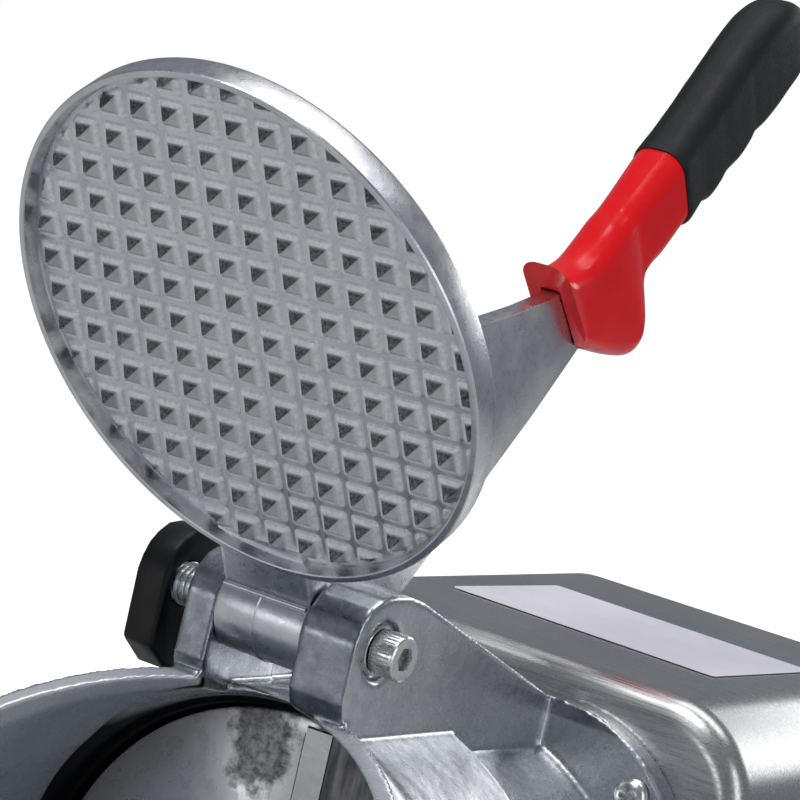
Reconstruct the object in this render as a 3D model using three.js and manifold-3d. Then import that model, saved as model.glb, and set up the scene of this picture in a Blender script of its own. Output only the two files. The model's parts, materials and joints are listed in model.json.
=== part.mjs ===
// Electric ice shaver with a lever-operated pressure plate, as an assembly of separate solids.
// Millimetres. +X is to the right of a person facing the hopper, +Y points back to the motor,
// +Z is up. The origin is on the counter, midway across and midway from front to back.
// The pressure lid is drawn open, leaning back on its hinge.
import * as THREE from 'three';
import { mergeVertices } from 'three/addons/utils/BufferGeometryUtils.js';
import Module from 'manifold-3d';

const wasm = await Module();
wasm.setup();

// ---------------------------------------------------------------- driving dimensions
const CLEARANCE = 0.3; // between pieces that touch or turn in one another
const SEGMENTS_LARGE = 44;
const SEGMENTS_MEDIUM = 18;
const SEGMENTS_SMALL = 12;
const DEGREE = Math.PI / 180;

const MOTOR_AXIS_Z = 118.5; // height of the motor shaft and cutter disc
const FOOT_HEIGHT = 18;

// Motor housing: a drawn stainless box, open at the back.
const HOUSING = { width: 183, height: 200, front: 36.6, back: 196, corner: 31.5, edge: 8, wall: 1.2 };
const HOUSING_BOTTOM = FOOT_HEIGHT;
const HOUSING_TOP = HOUSING_BOTTOM + HOUSING.height;

// Hopper casting: mouth, elbow, drum and flange.
const MOUTH = { y: -141.24, z: 157.6, outerRadius: 82.9, innerRadius: 77.3, tilt: 53.13 };
const ELBOW_PIVOT = { y: -70, z: 203.95 }; // every ring of the elbow turns about this X line
const DRUM = { outerRadius: 85.2, innerRadius: 81.5, back: -22 };
const REAR_DRUM = { outerRadius: 79, innerRadius: 74.5 };
const FLANGE = { halfWidth: 82, halfHeight: 89.5, corner: 50, front: 28, back: 36.3 };
const FLANGE_SCREW = { x: 61, z: 69.5, headRadius: 5.4, headHeight: 3.4, shankRadius: 2.4,
  holeRadius: 2.8 };
const CHAMBER = { radius: 79.6, front: -60.5, back: -27 };
const BULKHEAD_BACK = -20;
const OUTLET = { halfWidth: 42, front: -47.5, back: -29, bottom: 22, wall: 3.5 };

// Lid hinge, on two ears of the casting.
const HINGE = { y: -67.9, z: 224.35 };
const RIGHT_EAR = { inner: 8.5, outer: 27, webInner: 20, counterbore: 24.3 };
const LEFT_EAR = { inner: -22.5, outer: -33, webInner: -26.5 };
const TROUGH_RADIUS = 22.9; // relief between the ears that the lid's knuckle swings through
const WEB_SWEEP = { radius: 27.4, back: -64.9 }; // the web above the knuckle swings farther out
const BOLT_HOLE_RADIUS = 4.3;
const COUNTERBORE_RADIUS = 8.5;
const STUD_HOLE_RADIUS = 6.8;
const SEAL_BORE_RADIUS = 16.6;
const LID_LEAN = 31.6; // the open lid leans back this far from upright, in degrees
const CLOSE_TRAVEL = 180 - MOUTH.tilt - LID_LEAN; // from open to level with the mouth, in degrees
const PRESS_TRAVEL = 141; // from open to fully pressed, in degrees

// Pressure plate, in the lid's own frame: y is away from the waffle face, z is up the plate.
const PLATE = { radius: 75, up: 98.75, lipFront: -9.2, back: -0.3, lipWidth: 2, floor: -4.2 };
const PYRAMID = { pitch: 10.475, base: 7.4, height: 4.8, offsetX: -3.21, offsetZ: -4.13, turn: -2.1 };
const KNUCKLE = { left: -22, right: 8, radius: 13, webFront: -5.6, webBack: 3 };
const ARM = { left: -7, right: -1 };
const GUARD = { left: -12, right: 4 };
const GRIP = { left: -13.5, right: 5.5 };

// Cutter: disc, blades and the shaft that carries them.
const DISC = { radius: 78.2, front: -55, back: -49, hubRadius: 16, hubBack: -32 };
const SHAFT = { radius: 7.5, threadRadius: 6, front: -64, back: 176 };
const BLADE = { left: 0.3, right: 9, inner: 20, outer: 76, thickness: 2.6, screwX: 4.8, lift: 1.2 };
const NUT_BORE = 6.3;
const SLOT = { left: -7.5, slit: -1.8, depth: 2.4, inner: 22, outer: 74 };

// Motor, carried on a plate behind the front of the housing.
const MOTOR_PLATE = { front: 38.2, back: 43.2, halfWidth: 78, halfHeight: 86, corner: 30 };
const MOTOR = { radius: 60, bellFront: 43.6, stackFront: 82, stackBack: 140, bellBack: 160 };
const ROTOR_RADIUS = 33;
const AIR_GAP = 0.8;
const BEARING = { outerRadius: 17.5, width: 11 };
const BEARING_SEAT = BEARING.outerRadius + CLEARANCE;
const BELL = { hole: 10, wall: 4, boss: 24, floor: 6, seatBack: 16 };
const FAN = { radius: 54, hubRadius: 16, front: 163, back: 174, blades: 9, twist: 35 };
const CAPACITOR = { radius: 15, front: 100, back: 156, x: 66, z: 44 };

const COVER = { front: 196.3, back: 197.5 };
const GLAND_BACK = 207.6;

// ---------------------------------------------------------------- finishes
const finish = (color, roughness, metalness) => new THREE.MeshStandardMaterial(
  { color, roughness, metalness });
const CAST_ALUMINIUM = () => finish(0xa9adb2, 0.34, 0.95);
const STAINLESS = () => finish(0x8b8b8b, 0.28, 1);
const ZINC_STEEL = () => finish(0xc9ccc8, 0.3, 1);
const BLACK_PLASTIC = () => finish(0x111213, 0.45, 0);
const RED_VINYL = () => finish(0xd8151b, 0.25, 0);
const RED_PLASTIC = () => finish(0xa01512, 0.3, 0);
const BLACK_RUBBER = () => finish(0x1d1e20, 0.75, 0);
const LABEL_FILM = () => finish(0xdad7df, 0.55, 0);
const PAINTED_STEEL = () => finish(0x30343a, 0.5, 0.4);
const LAMINATION_STEEL = () => finish(0x6d6f73, 0.55, 0.9);
const COPPER = () => finish(0xa5562a, 0.45, 0.9);
const NATURAL_NYLON = () => finish(0xd9d6cc, 0.5, 0);

// ---------------------------------------------------------------- geometry helpers
function solid(geometry) {
  const bare = new THREE.BufferGeometry();
  bare.setAttribute('position', geometry.getAttribute('position'));
  if (geometry.index) bare.setIndex(geometry.index);
  const merged = mergeVertices(bare, 1e-4);
  const mesh = new wasm.Mesh({
    numProp: 3,
    vertProperties: new Float32Array(merged.getAttribute('position').array),
    triVerts: new Uint32Array(merged.index.array),
  });
  return new wasm.Manifold(mesh);
}

function surfaceOf(body) {
  const mesh = body.getMesh();
  const geometry = new THREE.BufferGeometry();
  geometry.setAttribute('position', new THREE.BufferAttribute(new Float32Array(mesh.vertProperties), 3));
  geometry.setIndex(new THREE.BufferAttribute(new Uint32Array(mesh.triVerts), 1));
  geometry.computeVertexNormals();
  return geometry;
}

function named(name, body, material) {
  const mesh = new THREE.Mesh(surfaceOf(body), material);
  mesh.name = name;
  return mesh;
}

const united = (bodies) => bodies.reduce((whole, piece) => whole.add(piece));
const without = (body, cutters) => cutters.reduce((rest, cutter) => rest.subtract(cutter), body);

function box(x0, x1, y0, y1, z0, z1) {
  const geometry = new THREE.BoxGeometry(x1 - x0, y1 - y0, z1 - z0);
  geometry.translate((x0 + x1) / 2, (y0 + y1) / 2, (z0 + z1) / 2);
  return solid(geometry);
}

function rodX(radius, x0, x1, y, z, segments = SEGMENTS_MEDIUM) {
  const geometry = new THREE.CylinderGeometry(radius, radius, x1 - x0, segments);
  geometry.rotateZ(Math.PI / 2);
  geometry.translate((x0 + x1) / 2, y, z);
  return solid(geometry);
}

function rodY(radius, y0, y1, x = 0, z = MOTOR_AXIS_Z, segments = SEGMENTS_MEDIUM) {
  const geometry = new THREE.CylinderGeometry(radius, radius, y1 - y0, segments);
  geometry.translate(x, (y0 + y1) / 2, z);
  return solid(geometry);
}

function rodZ(radius, z0, z1, x, y, segments = SEGMENTS_SMALL) {
  const geometry = new THREE.CylinderGeometry(radius, radius, z1 - z0, segments);
  geometry.rotateX(Math.PI / 2);
  geometry.translate(x, y, (z0 + z1) / 2);
  return solid(geometry);
}

// A body of revolution about a line along Y. The profile is a list of [radius, y].
function turnedY(profile, x = 0, z = MOTOR_AXIS_Z, segments = SEGMENTS_MEDIUM) {
  const points = profile.map(([radius, y]) => new THREE.Vector2(radius, y));
  if (profile[0][0] > 0) points.push(points[0].clone());
  const geometry = new THREE.LatheGeometry(points, segments);
  geometry.translate(x, 0, z);
  return outward(geometry);
}

// A body of revolution about a line along Z. The profile is a list of [radius, z].
function turnedZ(profile, x, y, segments = SEGMENTS_SMALL) {
  const points = profile.map(([radius, z]) => new THREE.Vector2(radius, z));
  const geometry = new THREE.LatheGeometry(points, segments);
  geometry.rotateX(Math.PI / 2);
  geometry.translate(x, y, 0);
  return outward(geometry);
}

// Turns a surface the right way round when its faces point inward.
function outward(geometry) {
  const position = geometry.getAttribute('position');
  const index = geometry.index.array;
  const [a, b, c] = [new THREE.Vector3(), new THREE.Vector3(), new THREE.Vector3()];
  let volume = 0;
  for (let i = 0; i < index.length; i += 3) {
    a.fromBufferAttribute(position, index[i]);
    b.fromBufferAttribute(position, index[i + 1]);
    c.fromBufferAttribute(position, index[i + 2]);
    volume += a.dot(b.cross(c));
  }
  if (volume < 0) geometry.setIndex(Array.from(index).reverse());
  return solid(geometry);
}

function outline(points) {
  return new THREE.Shape(points.map(([u, v]) => new THREE.Vector2(u, v)));
}

function roundedRectangle(halfWidth, halfHeight, radius) {
  const shape = new THREE.Shape();
  const [w, h] = [halfWidth - radius, halfHeight - radius];
  shape.absarc(w, -h, radius, -Math.PI / 2, 0);
  shape.absarc(w, h, radius, 0, Math.PI / 2);
  shape.absarc(-w, h, radius, Math.PI / 2, Math.PI);
  shape.absarc(-w, -h, radius, Math.PI, Math.PI * 1.5);
  return shape;
}

function extruded(shape, depth, bevel, curveSegments) {
  const options = { depth: depth - 2 * bevel, curveSegments, bevelEnabled: bevel > 0 };
  if (bevel > 0) {
    options.bevelThickness = bevel;
    options.bevelSize = bevel;
    options.bevelOffset = -bevel;
    options.bevelSegments = 2;
  }
  const geometry = new THREE.ExtrudeGeometry(shape, options);
  geometry.translate(0, 0, bevel);
  return geometry;
}

// An outline in Y and Z, extruded along X.
function slabX(shape, x0, x1, bevel = 0, curveSegments = 5) {
  const geometry = extruded(shape, x1 - x0, bevel, curveSegments);
  const turn = new THREE.Matrix4().makeBasis(
    new THREE.Vector3(0, 1, 0), new THREE.Vector3(0, 0, 1), new THREE.Vector3(1, 0, 0));
  geometry.applyMatrix4(turn);
  geometry.translate(x0, 0, 0);
  return solid(geometry);
}

// An outline in X and Z, extruded along Y.
function slabY(shape, y0, y1, z = MOTOR_AXIS_Z, bevel = 0, curveSegments = 5) {
  const geometry = extruded(shape, y1 - y0, bevel, curveSegments);
  geometry.rotateX(Math.PI / 2);
  geometry.translate(0, y1, z);
  return solid(geometry);
}

// A closed skin through rings of equal point count.
function loft(rings) {
  const count = rings[0].length;
  const points = rings.flat();
  const middle = (ring) => ring.reduce((sum, p) => sum.add(p), new THREE.Vector3()).divideScalar(count);
  points.push(middle(rings[0]), middle(rings[rings.length - 1]));
  const [firstMiddle, lastMiddle] = [points.length - 2, points.length - 1];
  const index = [];
  for (let r = 0; r + 1 < rings.length; r += 1) {
    for (let i = 0; i < count; i += 1) {
      const j = (i + 1) % count;
      const [a, b, c, d] = [r * count + i, r * count + j, (r + 1) * count + i, (r + 1) * count + j];
      index.push(a, b, c, b, d, c);
    }
  }
  const last = (rings.length - 1) * count;
  for (let i = 0; i < count; i += 1) {
    const j = (i + 1) % count;
    index.push(firstMiddle, j, i, lastMiddle, last + i, last + j);
  }
  const geometry = new THREE.BufferGeometry().setFromPoints(points);
  geometry.setIndex(index);
  return outward(geometry);
}

// A circle in a plane that contains X. Its tilt from the vertical plane is in degrees.
function tiltedRing(y, z, tilt, radius) {
  const [down, forward] = [Math.cos(tilt * DEGREE), Math.sin(tilt * DEGREE)];
  return Array.from({ length: SEGMENTS_LARGE }, (_, i) => {
    const angle = (2 * Math.PI * i) / SEGMENTS_LARGE;
    const [across, along] = [radius * Math.cos(angle), radius * Math.sin(angle)];
    return new THREE.Vector3(across, y - along * forward, z - along * down);
  });
}

// Rings that swing about an X line from the mouth's tilt to upright.
function swungRings(pivot, fromTilt, toTilt, steps, radiusAt, distanceAt) {
  return Array.from({ length: steps + 1 }, (_, i) => {
    const share = i / steps;
    const tilt = fromTilt + (toTilt - fromTilt) * share;
    const reach = distanceAt(share);
    const y = pivot.y - reach * Math.sin(tilt * DEGREE);
    const z = pivot.z - reach * Math.cos(tilt * DEGREE);
    return tiltedRing(y, z, tilt, radiusAt(share));
  });
}

const between = (a, b) => (share) => a + (b - a) * share;

// ---------------------------------------------------------------- hopper casting
const MOUTH_UP = [Math.sin(MOUTH.tilt * DEGREE), Math.cos(MOUTH.tilt * DEGREE)]; // up the mouth's plane
const MOUTH_OUT = [-MOUTH_UP[1], MOUTH_UP[0]]; // straight out of the mouth
const MOUTH_REACH = (ELBOW_PIVOT.y - MOUTH.y) * MOUTH_UP[0] + (ELBOW_PIVOT.z - MOUTH.z) * MOUTH_UP[1];
const DRUM_REACH = ELBOW_PIVOT.z - MOTOR_AXIS_Z;

// The wall just inside the mouth is machined down to a tilted plane; below it the cast wall steps out.
const MACHINED_TILT = 29;
const CAST_STEP = 2;

const mouthRing = (out, radius) => tiltedRing(
  MOUTH.y + MOUTH_OUT[0] * out, MOUTH.z + MOUTH_OUT[1] * out, MOUTH.tilt, radius);

function elbowOutside() {
  const rings = swungRings(ELBOW_PIVOT, MOUTH.tilt, 0, 6,
    between(MOUTH.outerRadius, DRUM.outerRadius), between(MOUTH_REACH, DRUM_REACH));
  rings.unshift(mouthRing(0, MOUTH.outerRadius));
  rings.push(tiltedRing(DRUM.back, MOTOR_AXIS_Z, 0, DRUM.outerRadius));
  return loft(rings);
}

function elbowInside() {
  const reach = MOUTH.innerRadius + 0.6;
  const topEdge = { y: MOUTH.y + reach * MOUTH_UP[0], z: MOUTH.z + reach * MOUTH_UP[1] };
  const machined = swungRings(topEdge, MOUTH.tilt, MACHINED_TILT, 3, () => MOUTH.innerRadius, () => reach);
  machined.unshift(mouthRing(8, MOUTH.innerRadius));
  const castRadius = MOUTH.innerRadius + CAST_STEP;
  const asCast = swungRings(ELBOW_PIVOT, MACHINED_TILT, 0, 4,
    between(castRadius, DRUM.innerRadius), between(MOUTH_REACH + 0.2, DRUM_REACH));
  asCast.push(tiltedRing(CHAMBER.front, MOTOR_AXIS_Z, 0, DRUM.innerRadius));
  return loft(machined).add(loft(asCast));
}

// Room for the lid's plate as it swings down into the elbow.
function plateSweep() {
  const clear = PLATE.radius + 1.4;
  const past = 2;
  const pressedTilt = MOUTH.tilt - (PRESS_TRAVEL - CLOSE_TRAVEL);
  const swing = loft(swungRings(HINGE, MOUTH.tilt + past, pressedTilt, 8, () => clear, () => PLATE.up));
  const lead = PLATE.lipFront - 1;
  const finalDisc = [lead, past].map((offset) => {
    const [s, c] = [Math.sin(pressedTilt * DEGREE), Math.cos(pressedTilt * DEGREE)];
    const y = HINGE.y - PLATE.up * s - offset * c;
    const z = HINGE.z - PLATE.up * c + offset * s;
    return tiltedRing(y, z, pressedTilt, clear);
  });
  return swing.add(loft(finalDisc));
}

// Room between the ears for the knuckle and for the web that joins it to the plate.
function hingeTrough() {
  const [left, right] = [LEFT_EAR.inner, RIGHT_EAR.inner];
  const around = (radius) => rodX(radius, left, right, HINGE.y, HINGE.z);
  const reach = WEB_SWEEP.radius + 1;
  const ahead = box(left, right, HINGE.y - reach, WEB_SWEEP.back, HINGE.z - reach, HINGE.z + reach);
  return around(TROUGH_RADIUS).add(around(WEB_SWEEP.radius).intersect(ahead));
}

function rightEar() {
  const ear = outline([[-72, 189], [-79, 202], [-82, 210], [-82, 226.5], [-80.5, 232], [-77, 236.3],
    [-72, 239], [-66, 240], [-60, 239.8], [-52, 238], [-44, 235], [-40, 233.5], [-40, 189]]);
  const web = outline([[-45, 186], [-45, 235.4], [-36, 232], [-12, 223], [17, 212], [30, 207], [30, 186]]);
  return slabX(ear, RIGHT_EAR.inner, RIGHT_EAR.outer).add(slabX(web, RIGHT_EAR.webInner, RIGHT_EAR.outer));
}

function leftEar() {
  const ear = outline([[-72, 189], [-78, 201], [-80, 208], [-79.5, 226], [-78, 231.5], [-74.5, 235.9],
    [-70, 237.8], [-64, 237.4], [-58, 235], [-50, 231], [-44, 228], [-44, 189]]);
  const web = outline([[-48, 186], [-48, 230], [-12, 218.5], [30, 205], [30, 186]]);
  return slabX(ear, LEFT_EAR.outer, LEFT_EAR.inner).add(slabX(web, LEFT_EAR.outer, LEFT_EAR.webInner));
}

function outletSkirt() {
  const { halfWidth, front, back, bottom, wall } = OUTLET;
  return box(-halfWidth - wall, halfWidth + wall, front - wall, back + wall, bottom, 60);
}

const flangeScrewPlaces = () => [[-1, -1], [1, -1], [-1, 1], [1, 1]].map(
  ([sx, sz]) => [sx * FLANGE_SCREW.x, MOTOR_AXIS_Z + sz * FLANGE_SCREW.z]);

const onShaft = (radius, y0, y1) => rodY(radius, y0, y1, 0, MOTOR_AXIS_Z, SEGMENTS_LARGE);

const screwHoles = (places, radius, y0, y1) => places.map(
  ([x, z]) => rodY(radius, y0, y1, x, z, SEGMENTS_SMALL));

function hopperCasting() {
  const flangeShape = roundedRectangle(FLANGE.halfWidth, FLANGE.halfHeight, FLANGE.corner);
  const flange = slabY(flangeShape, FLANGE.front, FLANGE.back);
  const rearDrum = onShaft(REAR_DRUM.outerRadius, DRUM.back - 1, FLANGE.back - 1);
  const body = united([elbowOutside(), rearDrum, flange, rightEar(), leftEar(), outletSkirt()]);
  const { halfWidth, front, back } = OUTLET;
  const cutters = [
    elbowInside(),
    plateSweep(),
    onShaft(CHAMBER.radius, CHAMBER.front - 1, CHAMBER.back),
    onShaft(REAR_DRUM.innerRadius, BULKHEAD_BACK, FLANGE.back + 5),
    hingeTrough(),
    box(-halfWidth, halfWidth, front, back, 0, 70),
    rodY(SEAL_BORE_RADIUS, CHAMBER.back - 1, BULKHEAD_BACK + 1),
    rodX(BOLT_HOLE_RADIUS, RIGHT_EAR.inner - 1, RIGHT_EAR.outer + 1, HINGE.y, HINGE.z),
    rodX(COUNTERBORE_RADIUS, RIGHT_EAR.counterbore, RIGHT_EAR.outer + 1, HINGE.y, HINGE.z),
    rodX(STUD_HOLE_RADIUS, LEFT_EAR.outer - 1, LEFT_EAR.inner + 1, HINGE.y, HINGE.z),
    ...screwHoles(flangeScrewPlaces(), FLANGE_SCREW.holeRadius, FLANGE.front - 1, FLANGE.back + 1),
    ...screwHoles(chuteScrewPlaces(), CHUTE.holeRadius, front - 4, front + 1),
  ];
  return without(body, cutters);
}

// ---------------------------------------------------------------- ice chute
const CHUTE_SCREW_X = [-30, 30];
const CHUTE_SCREW_Z = 28.5;
const CHUTE = { bottom: 7, top: 32.4, bend: 20, reach: 14, thickness: 1.2, halfWidth: 38, holeRadius: 1.9 };
const chuteScrewPlaces = () => CHUTE_SCREW_X.map((x) => [x, CHUTE_SCREW_Z]);

// A folded stainless lip that hangs on the front of the outlet and turns the ice forward.
function chute() {
  const y = OUTLET.front - OUTLET.wall - CLEARANCE;
  const t = CHUTE.thickness;
  const { top, bend, bottom, reach, halfWidth, holeRadius } = CHUTE;
  const tip = y - reach;
  const fold = outline([[y, top], [y - t, top], [y - t, bend], [tip, bottom], [tip + t, bottom],
    [y, bend - t / 2]]);
  const plate = slabX(fold, -halfWidth, halfWidth);
  return without(plate, screwHoles(chuteScrewPlaces(), holeRadius, y - 3, y + 1));
}

function panScrewY(x, z, headFront, headHeight, headRadius, shankRadius, shankBack) {
  const crown = headFront + headHeight * 0.35;
  const under = headFront + headHeight;
  const screw = turnedY([[0, headFront], [headRadius * 0.6, headFront], [headRadius * 0.92, crown],
    [headRadius, under - 0.4], [headRadius, under], [shankRadius, under], [shankRadius, shankBack],
    [0, shankBack]], x, z, SEGMENTS_SMALL);
  const arm = headRadius * 0.5;
  const recess = [box(x - arm, x + arm, headFront - 1, crown + 0.4, z - 0.6, z + 0.6),
    box(x - 0.6, x + 0.6, headFront - 1, crown + 0.4, z - arm, z + arm)];
  return without(screw, recess);
}

// ---------------------------------------------------------------- motor housing
function housingRings(inset, frontInset, backExtra) {
  const { width, height, front, back, corner, edge } = HOUSING;
  const centre = HOUSING_BOTTOM + height / 2;
  const radius = edge - inset;
  const section = (y, drawIn) => {
    const cut = inset + drawIn;
    const shape = roundedRectangle(width / 2 - cut, height / 2 - cut, corner - cut);
    return shape.getPoints(4).slice(0, -1).map((p) => new THREE.Vector3(p.x, y, centre + p.y));
  };
  const steps = 3;
  const rings = Array.from({ length: steps + 1 }, (_, i) => {
    const angle = (i / steps) * (Math.PI / 2);
    return section(front + frontInset + radius * (1 - Math.sin(angle)), radius * (1 - Math.cos(angle)));
  }).reverse();
  rings.push(section(back + backExtra, 0));
  return rings;
}

const footPlaces = () => [[-1, 56], [1, 56], [-1, 174], [1, 174]].map(([side, y]) => [side * 62, y]);
const coverScrewPlaces = () => [[-1, -1], [1, -1], [-1, 1], [1, 1]].map(
  ([sx, sz]) => [sx * 68, HOUSING_BOTTOM + HOUSING.height / 2 + sz * 90]);

const RETURN_LIP = 16; // width of the inward edge that the rear cover sits on
const MOTOR_HOLE_RADIUS = 60;
const COVER_HOLE_RADIUS = 2;
const FOOT_HOLE_RADIUS = 2.8;

function housingShell() {
  const { width, height, back, corner, wall, front } = HOUSING;
  const centre = HOUSING_BOTTOM + height / 2;
  const skin = loft(housingRings(0, 0, 0)).subtract(loft(housingRings(wall, wall, 2)));
  const face = (inset, radius) => roundedRectangle(width / 2 - inset, height / 2 - inset, radius);
  const returnOuter = slabY(face(wall / 2, corner - wall / 2), back - wall, back, centre);
  const returnInner = slabY(face(RETURN_LIP, corner - RETURN_LIP + 2), back - 3, back + 1, centre);
  const lip = returnOuter.subtract(returnInner);
  const cutters = [
    rodY(MOTOR_HOLE_RADIUS, front - 1, front + wall + 1),
    ...screwHoles(flangeScrewPlaces(), FLANGE_SCREW.holeRadius, front - 1, front + wall + 1),
    ...footPlaces().map(([x, y]) => rodZ(FOOT_HOLE_RADIUS, HOUSING_BOTTOM - 1, HOUSING_BOTTOM + 3, x, y)),
    ...screwHoles(coverScrewPlaces(), COVER_HOLE_RADIUS, back - 3, back + 1),
  ];
  return without(skin.add(lip), cutters);
}

const SWITCH = { x: 45, z: 60, halfWidth: 11, halfHeight: 15 };
const GLAND = { x: -45, z: 48, holeRadius: 8.3 };
const VENT = { halfLength: 48, halfHeight: 2, pitch: 9, count: 8, lowest: 108 };

function rearCover() {
  const { width, height, corner } = HOUSING;
  const centre = HOUSING_BOTTOM + height / 2;
  const face = roundedRectangle(width / 2 - 1, height / 2 - 1, corner - 1);
  const plate = slabY(face, COVER.front, COVER.back, centre);
  const [before, behind] = [COVER.front - 1, COVER.back + 1];
  const vents = Array.from({ length: VENT.count }, (_, i) => {
    const z = VENT.lowest + i * VENT.pitch;
    return box(-VENT.halfLength, VENT.halfLength, before, behind, z - VENT.halfHeight, z + VENT.halfHeight);
  });
  const cutters = [
    ...vents,
    box(SWITCH.x - SWITCH.halfWidth, SWITCH.x + SWITCH.halfWidth, before, behind,
      SWITCH.z - SWITCH.halfHeight, SWITCH.z + SWITCH.halfHeight),
    rodY(GLAND.holeRadius, before, behind, GLAND.x, GLAND.z, SEGMENTS_SMALL),
    ...screwHoles(coverScrewPlaces(), COVER_HOLE_RADIUS, before, behind),
  ];
  return without(plate, cutters);
}

// Pan screw pointing forward, head on the outside of the rear cover.
function coverScrew(x, z) {
  const head = COVER.back + CLEARANCE;
  return turnedY([[0, 186], [1.7, 186], [1.7, head], [3.8, head], [3.8, head + 1], [2.6, head + 2.2],
    [0, head + 2.4]], x, z, SEGMENTS_SMALL);
}

// Switch body: a bezel outside the cover and a hollow box behind it.
function switchBody() {
  const { x, z, halfWidth: w, halfHeight: h } = SWITCH;
  const bezelFront = COVER.back + CLEARANCE;
  const bezel = box(x - w - 2, x + w + 2, bezelFront, bezelFront + 1.8, z - h - 2, z + h + 2);
  const shell = box(x - w + 0.4, x + w - 0.4, 178, bezelFront + 1, z - h + 0.4, z + h - 0.4);
  const hollow = box(x - w + 2, x + w - 2, 182, bezelFront + 5, z - h + 2, z + h - 2);
  const boss = [-1, 1].map((side) => rodX(1.6, side > 0 ? x + 7.2 : x - 9.6, side > 0 ? x + 9.6 : x - 7.2,
    SWITCH_PIVOT_Y, z, 12));
  return united([bezel.add(shell).subtract(hollow), ...boss]);
}

const SWITCH_PIVOT_Y = 194.5;
const ROCKER_TILT = 9;

// A shallow V seen from the side, with both ends of the paddle raised in turn.
function rocker() {
  const { x, z } = SWITCH;
  const paddle = outline(
    [[-7, -6], [-7, 6], [2.5, 11.2], [6.4, 11.6], [4.2, 0], [6.4, -11.6], [2.5, -11.2]]);
  const body = slabX(paddle, -8.4, 8.4).subtract(rodX(1.95, -9, 9, 0, 0, 12));
  const tilt = new THREE.Matrix4().makeRotationX(ROCKER_TILT * DEGREE);
  tilt.setPosition(x, SWITCH_PIVOT_Y, z);
  return body.transform(tilt.elements);
}

function cordGland() {
  const front = COVER.back + CLEARANCE;
  return turnedY([[4.2, 184], [8, 184], [8, front], [12.5, front], [12.5, front + 3.5], [10.5, front + 4.5],
    [9.5, GLAND_BACK - 0.8], [8.5, GLAND_BACK], [4.2, GLAND_BACK]], GLAND.x, GLAND.z, 18);
}

function ratingLabel() {
  const shape = roundedRectangle(50, 31, 1.5);
  const geometry = extruded(shape, 0.3, 0, 4);
  geometry.rotateZ(-2 * DEGREE);
  geometry.translate(0, 117, HOUSING_TOP + CLEARANCE);
  return solid(geometry);
}

function rubberFoot(x, y) {
  const top = HOUSING_BOTTOM - CLEARANCE;
  return turnedZ([[7, 0], [12, 0], [13, 1], [15, top], [3.2, top], [3.2, 8], [7, 8], [7, 0]], x, y, 12);
}

function footScrew(x, y) {
  const head = 7.7;
  return turnedZ([[0, 4.5], [4, 4.5], [5, 6], [5, head], [2.4, head], [2.4, 27], [0, 27]], x, y, 16);
}

// ---------------------------------------------------------------- motor and cutter
function motorPlate() {
  const { halfWidth, halfHeight, corner, front, back } = MOTOR_PLATE;
  const plate = slabY(roundedRectangle(halfWidth, halfHeight, corner), front, back);
  const holes = flangeScrewPlaces().map(([x, z]) => rodY(2.7, front - 1, back + 1, x, z, SEGMENTS_SMALL));
  return without(plate, [rodY(22, front - 1, back + 1), ...holes]);
}

function frontBell() {
  const { radius, bellFront: y, stackFront } = MOTOR;
  const { hole, wall, boss, floor, seatBack } = BELL;
  const end = stackFront - CLEARANCE;
  return turnedY([[hole, y], [radius - wall, y], [radius, y + wall], [radius, end], [radius - wall, end],
    [radius - wall, y + floor], [boss, y + floor], [boss, y + seatBack], [BEARING_SEAT, y + seatBack],
    [BEARING_SEAT, y + wall], [hole, y + wall]], 0, MOTOR_AXIS_Z, SEGMENTS_MEDIUM);
}

function rearBell() {
  const { radius, bellBack: y, stackBack } = MOTOR;
  const { hole, wall, boss, floor, seatBack } = BELL;
  const start = stackBack + CLEARANCE;
  const [ledge, mouth, inside] = [y - wall + 1, y - seatBack + 1, y - floor + 1];
  return turnedY([[hole, y], [hole, ledge], [BEARING_SEAT, ledge], [BEARING_SEAT, mouth],
    [boss, mouth], [boss, inside], [radius - wall, inside], [radius - wall, start],
    [radius, start], [radius, y - wall], [radius - wall, y]], 0, MOTOR_AXIS_Z, SEGMENTS_MEDIUM);
}

function stator() {
  const { radius, stackFront, stackBack } = MOTOR;
  return turnedY([[ROTOR_RADIUS + AIR_GAP, stackFront], [radius, stackFront], [radius, stackBack],
    [ROTOR_RADIUS + AIR_GAP, stackBack]], 0, MOTOR_AXIS_Z, SEGMENTS_MEDIUM);
}

function endWinding(y0, y1) {
  return turnedY([[37, y0], [51, y0], [53, (y0 + y1) / 2], [51, y1], [37, y1], [35.5, (y0 + y1) / 2]]);
}

function bearing(y0) {
  const [bore, y1] = [SHAFT.radius + CLEARANCE, y0 + BEARING.width];
  return turnedY([[bore, y0], [BEARING.outerRadius, y0], [BEARING.outerRadius, y1], [bore, y1]]);
}

function rotor() {
  const { stackFront, stackBack } = MOTOR;
  return turnedY([[SHAFT.radius + 0.2, stackFront - 6], [26, stackFront - 6], [ROTOR_RADIUS, stackFront],
    [ROTOR_RADIUS, stackBack], [26, stackBack + 4], [SHAFT.radius + 0.2, stackBack + 4]]);
}

function motorShaft() {
  const { radius, threadRadius, front, back } = SHAFT;
  const shoulder = DISC.front + 1.2;
  return turnedY([[0, front], [threadRadius, front], [threadRadius, shoulder], [radius, shoulder],
    [radius, back], [0, back]]);
}

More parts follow.
